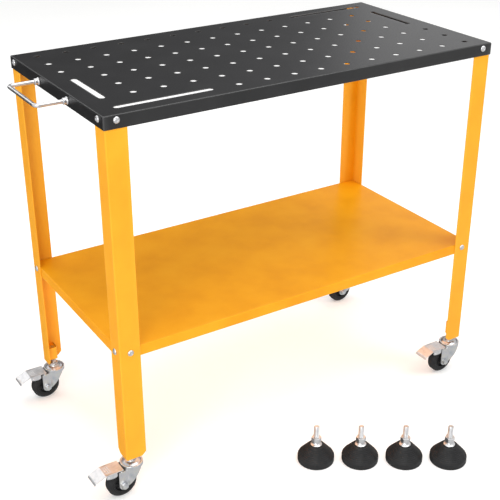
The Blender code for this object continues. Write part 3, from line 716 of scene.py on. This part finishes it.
def socket_mesh():
    """The plate that the caster's stem goes through, with its two skirts; its top is at z = 0."""
    bm = bmesh.new()
    steps = 32
    middle = Vector((STEM_INSET, STEM_INSET))
    outline = []
    for step in range(steps):
        turn = 2 * math.pi * (step + 0.5) / steps
        way = Vector((math.cos(turn), math.sin(turn)))
        reach = []
        for part, inset in ((way.x, STEM_INSET), (way.y, STEM_INSET)):
            if abs(part) > 1e-9:
                limit = SOCKET_SIZE - 0.0005 - inset if part > 0 else inset - LEG_SHEET
                reach.append(limit / abs(part))
        outline.append(middle + way * min(reach))
    rows = []
    for height in (0.0, -SOCKET_SHEET):
        rows.append([bm.verts.new((*point, height)) for point in outline])
    rim = filleted(
        [
            (SOCKET_HOLE_RADIUS + 0.002, 0.0, 0.0),
            (SOCKET_HOLE_RADIUS, 0.0, LIP_ROUND),
            (SOCKET_HOLE_RADIUS, -SOCKET_SHEET, LIP_ROUND),
            (SOCKET_HOLE_RADIUS + 0.002, -SOCKET_SHEET, 0.0),
        ],
        steps=3,
    )
    hole = []
    for radius, height in rim:
        row = []
        for point in outline:
            edge = middle + (point - middle).normalized() * radius
            row.append(bm.verts.new((*edge, height)))
        hole.append(row)
    chain = [rows[0], *hole, rows[1]]
    for row, following in zip(chain, chain[1:]):
        join_rows(bm, row, following)
    skirt = filleted(
        [
            (LEG_SHEET, SOCKET_SIZE, 0.0),
            (SOCKET_SIZE, SOCKET_SIZE, 0.004),
            (SOCKET_SIZE, LEG_SHEET, 0.0),
        ],
        steps=6,
    )
    inner = filleted(
        [
            (LEG_SHEET, SOCKET_SIZE - 0.002, 0.0),
            (SOCKET_SIZE - 0.002, SOCKET_SIZE - 0.002, 0.002),
            (SOCKET_SIZE - 0.002, LEG_SHEET, 0.0),
        ],
        steps=6,
    )
    section = [
        [bm.verts.new((x, y, -0.0008)) for x, y in skirt],
        [bm.verts.new((x * 0.99, y * 0.99, 0.0)) for x, y in skirt],
        [bm.verts.new((x, y, 0.0)) for x, y in inner],
        [bm.verts.new((x, y, -SOCKET_DEPTH)) for x, y in inner],
        [bm.verts.new((x, y, -SOCKET_DEPTH)) for x, y in skirt],
    ]
    for row, following in zip(section, section[1:] + section[:1]):
        join_rows(bm, row, following, closed=False)
    add_weld(bm, (LEG_SHEET, 0.006, 0.0), (LEG_SHEET, SOCKET_SIZE - 0.003, 0.0))
    add_weld(bm, (0.006, LEG_SHEET, 0.0), (SOCKET_SIZE - 0.003, LEG_SHEET, 0.0))
    return finished_mesh("caster_socket", bm, ORANGE_COAT)


def add_weld(bm, start, end):
    """A fillet weld bead under the coat: 3 mm wide, with a ripple for each 1.8 mm step of the torch."""
    start, end = Vector(start), Vector(end)
    length = (end - start).length
    way = (end - start) / length
    side = way.cross(Vector((0, 0, 1)))
    count = int(length / 0.0003)
    rows = []
    for index in range(count + 1):
        run = length * index / count
        ripple = 1 - 0.28 * abs(math.sin(math.pi * run / 0.0018)) ** 0.5
        taper = min(1.0, 0.25 + min(run, length - run) / 0.002)
        radius = 0.0016 * ripple * taper
        row = []
        for step in range(10):
            turn = 2 * math.pi * step / 10
            offset = side * (radius * math.cos(turn)) + Vector((0, 0, radius * math.sin(turn)))
            row.append(bm.verts.new(start + way * run + offset))
        rows.append(row)
    for row, following in zip(rows, rows[1:]):
        join_rows(bm, row, following)
    bm.faces.new(rows[0])
    bm.faces.new(rows[-1])


def make_legs():
    """Four legs, each with its socket. Corners a quarter turn away swap their two flanges."""
    low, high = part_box("leg_front_left")
    straight = leg_mesh(low.z, high.z, LONG_SIDE_FLANGE, SHORT_SIDE_FLANGE)
    turned_over = leg_mesh(low.z, high.z, SHORT_SIDE_FLANGE, LONG_SIDE_FLANGE)
    socket = socket_mesh()
    for name, side_x, side_y, turn in CORNERS:
        near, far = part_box("leg_" + name)
        x = near.x if side_x < 0 else far.x
        y = near.y if side_y < 0 else far.y
        node = "leg_" + name
        angle = straight if turn in (0, 180) else turned_over
        place("leg_angle_" + name, angle, "orange_powder_coat", "table", (x, y, 0), (0, 0, turn), [node])
        where = (x, y, SOCKET_TOP)
        place("caster_socket_" + name, socket, "orange_powder_coat", "table", where, (0, 0, turn))


# ---------------------------------------------------------------- bolts
def bolt_mesh():
    """A button-head screw with its nut; the head's underside is at z = 0 and it points up."""
    bm = bmesh.new()
    key = 0.0021
    dome = [
        (key, BOLT_HEAD_HEIGHT - 0.0016),
        (key, BOLT_HEAD_HEIGHT - 0.0002),
        (key + 0.0002, BOLT_HEAD_HEIGHT),
    ]
    for step in range(1, 13):
        turn = math.radians(78 - 72 * step / 12)
        dome.append((BOLT_HEAD_RADIUS * math.cos(turn), BOLT_HEAD_HEIGHT * math.sin(turn)))
    shank = filleted(
        [
            (BOLT_HEAD_RADIUS, 0.0004, 0.0),
            (BOLT_HEAD_RADIUS, 0.0, 0.0002),
            (BOLT_SHANK_RADIUS, 0.0, 0.0),
            (BOLT_SHANK_RADIUS, -BOLT_GRIP, 0.0),
        ],
        steps=3,
    )
    lathe(bm, [(0.0, BOLT_HEAD_HEIGHT - 0.0019)] + dome + shank, 48)
    nut_low = -BOLT_GRIP - NUT_THICKNESS
    hexagon(bm, NUT_FLATS, nut_low, -BOLT_GRIP)
    tip = thread(bm, BOLT_SHANK_RADIUS, 0.001, BOLT_GRIP + 0.002, BOLT_LENGTH, 20)
    bmesh.ops.transform(bm, matrix=Matrix.Rotation(math.pi, 4, "X"), verts=tip)
    return finished_mesh("corner_bolt", bm, CHROME, sharp_angle=40)


def make_bolts():
    """Each bolt sits on the outer face of what it holds: the top's flange or the leg."""
    mesh = bolt_mesh()
    corner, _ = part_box("leg_front_left")
    leg_half = (TABLE_X - corner.x, TABLE_Y - corner.y)
    for level, (face_x, face_y) in (("top", TOP_HALF), ("shelf", leg_half)):
        for name, side_x, side_y, _ in CORNERS:
            for side in ("long_side", "short_side"):
                node = f"{level}_bolt_{name}_{side}"
                spot = middle_of(node)
                if side == "long_side":
                    spot.y = TABLE_Y + side_y * (face_y + 0.0003)
                    turn = (90, 0, 0 if side_y < 0 else 180)
                else:
                    spot.x = TABLE_X + side_x * (face_x + 0.0003)
                    turn = (90, 0, -90 if side_x < 0 else 90)
                place(f"button_bolt_{level}_{name}_{side}", mesh, "chrome_plate", "table", spot, turn, [node])


# ---------------------------------------------------------------- handle
def rod_mesh(outer, half_span, inside):
    """A round bar bent to a U, along a line in the XY plane."""
    route = filleted(
        [
            (inside, half_span, 0.0),
            (outer, half_span, HANDLE_BEND_RADIUS),
            (outer, -half_span, HANDLE_BEND_RADIUS),
            (inside, -half_span, 0.0),
        ],
        steps=16,
    )
    bm = bmesh.new()
    rows = []
    for index, point in enumerate(route):
        before = Vector(route[max(index - 1, 0)])
        after = Vector(route[min(index + 1, len(route) - 1)])
        way = (after - before).normalized()
        side = Vector((-way.y, way.x, 0.0))
        row = []
        for step in range(40):
            turn = 2 * math.pi * step / 40
            offset = side * math.cos(turn) + Vector((0, 0, math.sin(turn)))
            row.append(bm.verts.new(Vector((*point, 0.0)) + offset * HANDLE_ROD_RADIUS))
        rows.append(row)
    for row, following in zip(rows, rows[1:]):
        join_rows(bm, row, following)
    bm.faces.new(rows[0])
    bm.faces.new(rows[-1])
    return finished_mesh("pull_handle", bm, CHROME)


def make_handle():
    """The bent rod, with a ferrule outside and a lock nut inside the end flange at each of its ends."""
    low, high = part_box("handle_rod")
    spot = (low + high) / 2
    half_span = (high.y - low.y) / 2 - HANDLE_ROD_RADIUS
    rod = rod_mesh(low.x + HANDLE_ROD_RADIUS, half_span, high.x)
    where = (0.0, spot.y, spot.z)
    place("pull_handle", rod, "chrome_plate", "table", where, stands_for=["handle_rod"])
    bm = bmesh.new()
    bore = HANDLE_ROD_RADIUS + 0.0001
    collar_profile = filleted(
        [
            (bore, 0.0, 0.0),
            (0.0078, 0.0, 0.0005),
            (0.0078, 0.0014, 0.0004),
            (0.0064, 0.0030, 0.0012),
            (0.0064, 0.0086, 0.0010),
            (0.0052, 0.0096, 0.0004),
            (bore, 0.0096, 0.0),
        ],
        steps=4,
    )
    lathe(bm, collar_profile, 48, closed=True)
    collar = finished_mesh("handle_collar", bm, CHROME, sharp_angle=60)
    bm = bmesh.new()
    hexagon(bm, 0.0134, 0.0, 0.0056)
    nut = finished_mesh("handle_nut", bm, ZINC, sharp_angle=35)
    for end in ("front", "rear"):
        node = "handle_collar_" + end
        spot = middle_of(node)
        spot.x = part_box(node)[1].x
        place("handle_ferrule_" + end, collar, "chrome_plate", "table", spot, (0, -90, 0), [node])
        node = "handle_nut_" + end
        spot = middle_of(node)
        spot.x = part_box(node)[0].x
        place("handle_locknut_" + end, nut, "zinc_plate", "table", spot, (0, 90, 0), [node])


# ---------------------------------------------------------------- casters
def stem_mesh():
    """Threaded stud, lock nut, upper race and kingpin; z = 0 is the floor."""
    bm = bmesh.new()
    thread(bm, STUD_RADIUS, STUD_THREAD, 0.0850, STEM_TOP)
    hexagon(bm, 0.0180, 0.0799, 0.0865)
    race = filleted(
        [
            (0.0, 0.0803, 0.0),
            (0.0098, 0.0801, 0.0006),
            (0.0105, 0.0783, 0.0008),
            (0.0150, 0.0773, 0.0015),
            (0.0196, 0.0743, 0.0010),
            (0.0198, 0.0712, 0.0004),
            (0.0040, 0.0711, 0.0),
            (0.0040, 0.0663, 0.0),
            (0.0070, 0.0661, 0.0004),
            (0.0066, 0.0654, 0.0006),
            (0.0, 0.0652, 0.0),
        ],
        steps=4,
    )
    lathe(bm, race, 64)
    return finished_mesh("caster_stem", bm, ZINC, sharp_angle=40)


def cheek_low(x):
    """Height of the lower outline of the fork's side plate at x: a round end, then a slanted front."""
    tangent = math.radians(-39)
    tangent_x = -CASTER_TRAIL + CHEEK_END_RADIUS * math.cos(tangent)
    tangent_z = AXLE_HEIGHT + CHEEK_END_RADIUS * math.sin(tangent)
    if x <= tangent_x:
        across = min(CHEEK_END_RADIUS, abs(x + CASTER_TRAIL))
        return AXLE_HEIGHT - math.sqrt(CHEEK_END_RADIUS**2 - across**2)
    slope = (CROWN_BOTTOM - tangent_z) / (CHEEK_FRONT - tangent_x)
    return tangent_z + slope * (x - tangent_x)


def fork_mesh():
    """Pressed fork: a dished crown with a rolled rim, and two side plates that curve round with it."""
    bm = bmesh.new()
    fold = -math.sqrt(CHEEK_BULGE**2 - CHEEK_OUTER**2)
    plan = []
    for step in range(13):
        turn = math.radians(180 + 141 * step / 12)
        plan.append((-CASTER_TRAIL + CHEEK_END_RADIUS * math.cos(turn), -CHEEK_OUTER))
    first = math.atan2(-CHEEK_OUTER, fold)
    last = -math.acos(CHEEK_FRONT / CHEEK_BULGE)
    for step in range(17):
        turn = first + (last - first) * step / 16
        plan.append((CHEEK_BULGE * math.cos(turn), CHEEK_BULGE * math.sin(turn)))
    for side in (1, -1):
        columns = []
        for x, y in plan:
            low = cheek_low(x)
            heights = [low + (CROWN_BOTTOM + 0.0015 - low) * step / 8 for step in range(9)]
            columns.append([bm.verts.new((x, side * y, z)) for z in heights])
        for column, following in zip(columns, columns[1:]):
            join_rows(bm, column, following, closed=False)
    plates = finished_mesh("fork_plates", bm, ZINC, sheet=CHEEK_SHEET, bevel=0.0005)
    bm = bmesh.new()
    bm.from_mesh(plates)
    crown = filleted(
        [
            (0.0045, CROWN_FLOOR, 0.0),
            (0.0192, CROWN_FLOOR, 0.0016),
            (0.0206, CROWN_RIM, 0.0009),
            (CROWN_RADIUS, CROWN_RIM, 0.0013),
            (CROWN_RADIUS, CROWN_BOTTOM - 0.0003, 0.0022),
            (0.0045, CROWN_BOTTOM, 0.0),
        ],
        steps=6,
    )
    lathe(bm, crown, 96, closed=True)
    for side in (-1, 1):
        head = lathe(
            bm,
            [(0.0, 0.0014), (0.0012, 0.0013), (0.0022, 0.0009), (0.0028, 0.0002), (0.0029, -0.0004)],
            24,
        )
        turn = Matrix.Rotation(-side * math.pi / 2, 4, "X")
        where = Matrix.Translation((PEDAL_PIN[0], side * CHEEK_OUTER, PEDAL_PIN[1]))
        bmesh.ops.transform(bm, matrix=where @ turn, verts=head)
    return finished_mesh("caster_fork", bm, ZINC, sharp_angle=55)


def axle_mesh():
    """Axle bolt along Z: hex head at one end, hex nut at the other, with a washer under each."""
    bm = bmesh.new()
    seat = CHEEK_OUTER + 0.0002
    washer = filleted(
        [
            (AXLE_RADIUS, 0.0, 0.0),
            (0.0082, 0.0, 0.0002),
            (0.0082, 0.0009, 0.0003),
            (AXLE_RADIUS, 0.0009, 0.0),
        ],
        steps=3,
    )
    for side in (-1, 1):
        lathe(bm, [(radius, side * (seat + height)) for radius, height in washer], 40)
    hexagon(bm, 0.0130, seat + 0.0009, seat + 0.0050)
    hexagon(bm, 0.0130, -seat - 0.0062, -seat - 0.0009)
    lathe(bm, [(AXLE_RADIUS, seat), (AXLE_RADIUS, -seat)], 32)
    tip = thread(bm, AXLE_RADIUS, 0.00125, seat + 0.005, seat + 0.0075, 24)
    bmesh.ops.transform(bm, matrix=Matrix.Rotation(math.pi, 4, "X"), verts=tip)
    return finished_mesh("caster_axle", bm, ZINC, sharp_angle=40)


def tyre_mesh():
    """Rubber tyre about Z, with a flat tread, soft shoulders and a fine ring moulded in each side."""
    side = [
        (CORE_RADIUS + 0.0003, 0.0100, 0.0004),
        (0.0240, 0.0106, 0.0005),
        (0.0244, 0.0110, 0.0003),
        (0.0252, 0.0110, 0.0003),
        (0.0256, 0.0106, 0.0005),
        (0.0280, 0.0102, 0.0014),
        (WHEEL_RADIUS, 0.0066, 0.0026),
    ]
    other = [(radius, -height, fillet) for radius, height, fillet in reversed(side)]
    bm = bmesh.new()
    lathe(bm, filleted(side + other, steps=5, closed=True), 128, closed=True)
    return finished_mesh("caster_tyre", bm, TREAD_RUBBER)


def core_mesh():
    """Nylon wheel centre about Z: rim, deep groove with eight ribs, and a long hub."""
    side = [
        (CORE_RADIUS, 0.0101, 0.0003),
        (0.0180, 0.0101, 0.0006),
        (0.0174, 0.0042, 0.0010),
        (0.0104, 0.0038, 0.0010),
        (0.0094, 0.0122, 0.0006),
        (0.0072, 0.0124, 0.0003),
        (0.0068, HUB_HALF_WIDTH, 0.0004),
        (AXLE_RADIUS + 0.0003, HUB_HALF_WIDTH, 0.0),
    ]
    other = [(radius, -height, fillet) for radius, height, fillet in reversed(side)]
    bm = bmesh.new()
    lathe(bm, filleted(side + other, steps=4, closed=True), 96, closed=True)
    for index in range(8):
        turn = 2 * math.pi * index / 8
        way = Vector((math.cos(turn), math.sin(turn), 0.0))
        for height in (0.0052, -0.0052):
            lift = Vector((0, 0, height))
            capsule(bm, 0.0011, way * 0.0092 + lift, way * 0.0182 + lift)
    return finished_mesh("caster_wheel_core", bm, NYLON)


def pedal_mesh():
    """Pressed brake pedal about its pin: flat tread, bent toe with a knurled lip, and side flanges."""
    route = filleted(
        [
            (-0.0255, PEDAL_TOP, 0.0),
            (-0.0400, PEDAL_TOP, 0.0),
            (-0.0660, PEDAL_TOP, 0.0060),
            (-0.0885, 0.0633, 0.0022),
            (-0.0915, 0.0585, 0.0),
        ],
        steps=6,
    )
    bm = bmesh.new()
    inner = PEDAL_HALF_WIDTH - 0.0020
    rows = []
    for x, z in route:
        beside = -0.0640 < x < -0.0420
        half = inner if beside else PEDAL_HALF_WIDTH
        rows.append([bm.verts.new((x, half * share, z)) for share in (-1, -0.5, 0, 0.5, 1)])
    for row, following in zip(rows, rows[1:]):
        join_rows(bm, row, following, closed=False)
    for side in (-1, 1):
        across = filleted(
            [
                (side * (inner - 0.0010), PEDAL_TOP, 0.0),
                (side * PEDAL_HALF_WIDTH, PEDAL_TOP, 0.0020),
                (side * PEDAL_HALF_WIDTH, 0.0, 0.0),
            ],
            steps=6,
        )
        columns = []
        for step in range(9):
            x = -0.0400 - 0.0240 * step / 8
            foot = 0.0600 + 0.0030 * (step / 8) ** 3 + 0.0030 * (1 - step / 8) ** 6
            line = [(y, z) for y, z in across[:-1]] + [(across[-1][0], foot)]
            columns.append([bm.verts.new((x, y, z)) for y, z in line])
        for column, following in zip(columns, columns[1:]):
            join_rows(bm, column, following, closed=False)
    plate = finished_mesh("pedal_plate", bm, SATIN_CHROME, sheet=PEDAL_SHEET, bevel=0.00035)
    bm = bmesh.new()
    bm.from_mesh(plate)
    for index in range(3):
        x = -0.0510 - 0.0045 * index
        capsule(bm, 0.0013, (x, -0.0100, PEDAL_TOP), (x, 0.0100, PEDAL_TOP), squash=0.55)
    toe = Vector((-0.0225, 0.0, -0.0098)).normalized()
    for index in range(11):
        y = -0.0160 + 0.0032 * index
        start = Vector((-0.0868, y, 0.0641))
        capsule(bm, 0.0008, start, start + toe * 0.0026)
    for side in (-1, 1):
        stud = lathe(
            bm,
            [(0.0, 0.0012), (0.0012, 0.0011), (0.0021, 0.0006), (0.0025, -0.0002)],
            24,
        )
        turn = Matrix.Rotation(-side * math.pi / 2, 4, "X")
        where = Matrix.Translation((-0.0590, side * PEDAL_HALF_WIDTH, 0.0655))
        bmesh.ops.transform(bm, matrix=where @ turn, verts=stud)
    for side in (-1, 1):
        lug = (side * 0.013, PEDAL_PIN[1])
        capsule(bm, 0.0032, (PEDAL_PIN[0], lug[0] - 0.0005, lug[1]), (PEDAL_PIN[0], lug[0] + 0.0005, lug[1]))
        end = (PEDAL_PIN[0], side * 0.0150, PEDAL_PIN[1])
        capsule(bm, 0.0018, (PEDAL_PIN[0], side * 0.0138, PEDAL_PIN[1]), end)
    capsule(bm, 0.0020, (-0.0450, -0.0075, 0.0664), (-0.0450, 0.0075, 0.0664))
    web = filleted(
        [
            (-0.0470, 0.0668, 0.0005),
            (-0.0430, 0.0668, 0.0005),
            (-0.0430, 0.0727, 0.0005),
            (-0.0470, 0.0727, 0.0005),
        ],
        steps=2,
        closed=True,
    )
    ends = [[bm.verts.new((x, y, z)) for x, z in web] for y in (-0.0080, 0.0080)]
    join_rows(bm, *ends)
    for end in ends:
        bm.faces.new(end)
    bmesh.ops.translate(bm, vec=(-PEDAL_PIN[0], 0, -PEDAL_PIN[1]), verts=bm.verts)
    return finished_mesh("brake_pedal", bm, SATIN_CHROME, sharp_angle=55)


def make_casters():
    """All that hangs on each leg's socket, each piece on the body that it moves with."""
    stem, fork, axle = stem_mesh(), fork_mesh(), axle_mesh()
    tyre, core, pedal = tyre_mesh(), core_mesh(), pedal_mesh()
    for name, _, _, _ in CORNERS:
        swivel = middle_of("caster_stem_" + name)
        swivel.z = 0.0
        wheel = middle_of("caster_tyre_" + name)
        pin = swivel + Vector((PEDAL_PIN[0], 0.0, PEDAL_PIN[1]))
        on_axle = (-90, 0, 0)
        turning = "swivel_" + name
        rolling = "wheel_" + name
        pieces = (
            ("threaded_stem_", stem, "zinc_plate", "table", swivel, (0, 0, 0), "caster_stem_"),
            ("pressed_fork_", fork, "zinc_plate", turning, swivel, (0, 0, 0), "caster_fork_"),
            ("axle_bolt_", axle, "zinc_plate", turning, wheel, on_axle, "caster_axle_"),
            ("tyre_", tyre, "tread_rubber", rolling, wheel, on_axle, "caster_tyre_"),
            ("wheel_core_", core, "black_nylon", rolling, wheel, on_axle, "caster_wheel_core_"),
            ("brake_pedal_", pedal, "chrome_plate", "pedal_" + name, pin, (0, 0, 0), "caster_brake_pedal_"),
        )
        for title, mesh, slot, body, where, turn, node in pieces:
            place(title + name, mesh, slot, body, where, turn, [node + name])


# ---------------------------------------------------------------- levelling feet
def foot_pad_mesh():
    """Rubber foot: an upright rim, then a ribbed cone up to a flat shoulder round the stud."""
    cone_start = Vector((FOOT_PAD_RADIUS - 0.0010, FOOT_RIM_HEIGHT + 0.0012))
    cone_end = Vector((FOOT_PAD_TOP_RADIUS + 0.0004, FOOT_PAD_HEIGHT - 0.0016))
    slope = cone_end - cone_start
    out = Vector((slope.y, -slope.x)).normalized()
    corners = [
        (0.0, 0.0004, 0.0),
        (0.0340, 0.0004, 0.0),
        (0.0352, 0.0, 0.0002),
        (FOOT_PAD_RADIUS - 0.0004, 0.0, 0.0008),
        (FOOT_PAD_RADIUS, 0.0016, 0.0006),
        (FOOT_PAD_RADIUS, FOOT_RIM_HEIGHT, 0.0008),
    ]
    ribs = 8
    for index in range(ribs):
        for share, lift in ((0.10, 0.0), (0.24, 0.0006), (0.62, 0.0006), (0.76, 0.0)):
            point = cone_start + slope * ((index + share) / ribs) + out * lift
            corners.append((point.x, point.y, 0.0003 if lift else 0.0002))
    corners += [
        (FOOT_PAD_TOP_RADIUS, FOOT_PAD_HEIGHT - 0.0008, 0.0008),
        (FOOT_PAD_TOP_RADIUS - 0.0022, FOOT_PAD_HEIGHT, 0.0008),
        (0.0083, FOOT_PAD_HEIGHT - 0.0006, 0.0006),
        (0.0083, 0.0300, 0.0),
        (0.0, 0.0300, 0.0),
    ]
    bm = bmesh.new()
    lathe(bm, filleted(corners, steps=3), 128)
    return finished_mesh("foot_pad", bm, FOOT_RUBBER, sharp_angle=70)


def foot_stud_mesh():
    """Threaded stud with its jam nut, neck and flange."""
    bm = bmesh.new()
    neck = filleted(
        [
            (0.0, 0.0305, 0.0),
            (0.0078, 0.0305, 0.0),
            (0.0078, 0.0401, 0.0),
            (0.0124, 0.0403, 0.0004),
            (0.0125, 0.0418, 0.0005),
            (0.0086, 0.0436, 0.0012),
            (0.0068, 0.0462, 0.0010),
            (0.0082, 0.0486, 0.0006),
            (0.0082, 0.0498, 0.0),
            (0.0, 0.0498, 0.0),
        ],
        steps=4,
    )
    lathe(bm, neck, 64)
    hexagon(bm, 0.0190, 0.0496, 0.0602)
    thread(bm, STUD_RADIUS, STUD_THREAD, 0.0595, FOOT_STUD_TOP - 0.0012, 40)
    tip = [
        (STUD_RADIUS - 0.0006, FOOT_STUD_TOP - 0.0013),
        (STUD_RADIUS - 0.0014, FOOT_STUD_TOP),
        (0.0, FOOT_STUD_TOP),
    ]
    lathe(bm, tip, 40)
    return finished_mesh("foot_stud", bm, CHROME, sharp_angle=40)


def make_feet():
    """The four feet, each pad with its stud, where they stand in front of the table."""
    pad = foot_pad_mesh()
    stud = foot_stud_mesh()
    for number in range(1, 5):
        node = f"levelling_foot_pad_{number}"
        spot = middle_of(node)
        spot.z = 0.0
        body = f"foot_{number}"
        place(f"foot_pad_{number}", pad, "foot_rubber", body, spot, stands_for=[node])
        node = f"levelling_foot_stud_{number}"
        place(f"foot_stud_{number}", stud, "chrome_plate", body, spot, stands_for=[node])


# ---------------------------------------------------------------- studio
def make_floor():
    """A wide pale floor, its tone barely uneven, as a painted studio floor is.

    It glows a little, which hides the tint that the orange coat throws on it.
    """
    material, tree, shader, place_on = new_finish("pale_studio_floor")
    cloud = add_node(tree, "ShaderNodeTexNoise", {"Scale": 0.6, "Detail": 2.0}, {"Vector": place_on})
    tone = add_node(tree, "ShaderNodeValToRGB", {}, {"Fac": cloud.outputs["Fac"]})
    set_ramp(tone, [(0.3, "#F3F3F2"), (0.7, "#F7F7F6")])
    tree.links.new(tone.outputs["Color"], shader.inputs["Base Color"])
    shader.inputs["Roughness"].default_value = 0.85
    tree.links.new(tone.outputs["Color"], shader.inputs["Emission Color"])
    shader.inputs["Emission Strength"].default_value = 0.22
    shader.inputs["Specular IOR Level"].default_value = 0.15
    bm = bmesh.new()
    corners = ((-1, -1), (1, -1), (1, 1), (-1, 1))
    bm.faces.new([bm.verts.new((x * FLOOR_HALF, y * FLOOR_HALF, 0.0)) for x, y in corners])
    mesh = bpy.data.meshes.new("studio_floor")
    bm.to_mesh(mesh)
    bm.free()
    mesh.materials.append(material)
    floor = bpy.data.objects.new("studio_floor", mesh)
    bpy.context.scene.collection.objects.link(floor)
    floor.visible_glossy = False


def add_softbox(name, place_at, aim, width, height, power):
    """A rectangular lamp that looks at its aim and isn't seen itself. Power is in watts."""
    light = bpy.data.lights.new(name, "AREA")
    light.shape = "RECTANGLE"
    light.size = width
    light.size_y = height
    light.energy = power
    lamp = bpy.data.objects.new(name, light)
    bpy.context.scene.collection.objects.link(lamp)
    lamp.location = place_at
    lamp.rotation_euler = (Vector(aim) - Vector(place_at)).to_track_quat("-Z", "X").to_euler()
    lamp.visible_camera = False


def make_light():
    """A pale room with a dark wall at the back, a key light from the front left and soft fills."""
    world = bpy.data.worlds.new("studio_room")
    bpy.context.scene.world = world
    world.use_nodes = True
    tree = world.node_tree
    direction = add_node(tree, "ShaderNodeTexCoord", {}, {}).outputs["Generated"]
    towards_wall = add_node(
        tree,
        "ShaderNodeVectorMath",
        {"operation": "DOT_PRODUCT", 1: DARK_WALL_SIDE},
        {0: direction},
    )
    tone = add_node(tree, "ShaderNodeValToRGB", {}, {"Fac": towards_wall.outputs["Value"]})
    set_ramp(tone, [(0.50, "#FFFFFF"), (0.60, "#DCDCDD"), (0.70, "#909091"), (0.84, "#444445")])
    # The dark wall only shades and mirrors: behind the table the room is seen as pale all round.
    seen = add_node(tree, "ShaderNodeLightPath", {}, {}).outputs["Is Camera Ray"]
    shown = add_node(tree, "ShaderNodeMix", {"data_type": "RGBA"}, {"Factor": seen})
    tree.links.new(tone.outputs["Color"], shown.inputs[6])
    shown.inputs[7].default_value = PALE_ROOM
    background = tree.nodes["Background"]
    tree.links.new(shown.outputs[2], background.inputs["Color"])
    background.inputs["Strength"].default_value = 0.72
    aim = (TABLE_X, TABLE_Y, 0.4)
    add_softbox("key_left", (-3.0, -2.6, 2.0), aim, 2.4, 2.0, 72)
    add_softbox("overhead", (0.2, 0.0, 3.6), aim, 3.0, 2.4, 54)
    add_softbox("front_right_high", (1.9, -1.6, 3.4), (0.0, 0.0, 0.8), 1.6, 1.0, 26)
    add_softbox("rear_left_high", (-1.3, 3.4, 3.1), (0.0, 0.0, 0.8), 2.4, 1.2, 20)
    add_softbox("rear_right_strip", (3.1, 3.0, 1.8), (0.4, 0.3, 0.8), 1.4, 1.0, 3.2)
    below_top = (TABLE_X, TABLE_Y, TOP_LOW.z - 0.01)
    add_softbox("under_top_fill", below_top, (TABLE_X, TABLE_Y, 0.0), 0.80, 0.36, 0.85)
    below_shelf = (TABLE_X, TABLE_Y, SHELF_LOW.z - 0.01)
    add_softbox("under_shelf_fill", below_shelf, (TABLE_X, TABLE_Y, 0.0), 0.80, 0.36, 0.6)


def make_camera():
    """A short telephoto from the front left, above the top."""
    camera = bpy.data.cameras.new("camera")
    camera.sensor_width = 36.0
    camera.lens = 71.76
    camera.shift_x = -0.0035
    camera.shift_y = -0.0182
    camera.clip_end = 100.0
    holder = bpy.data.objects.new("camera", camera)
    bpy.context.scene.collection.objects.link(holder)
    holder.location = (TABLE_X - 1.1085, TABLE_Y - 1.7430, TOP_HIGH.z + 0.5648)
    forward = Vector((0.4780, 0.7590, -0.4415))
    holder.rotation_euler = forward.to_track_quat("-Z", "Y").to_euler()
    bpy.context.scene.camera = holder


# ---------------------------------------------------------------- assembly
make_top()
make_shelf()
make_legs()
make_bolts()
make_handle()
make_casters()
make_feet()
make_floor()
make_light()
make_camera()
# The plain display curve keeps the orange coat as saturated as it is.
bpy.context.scene.view_settings.view_transform = "Standard"

left_showing = [name for name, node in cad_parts.items() if not node.hide_render]
if left_showing:
    raise RuntimeError(f"CAD nodes without a finished piece: {left_showing}")
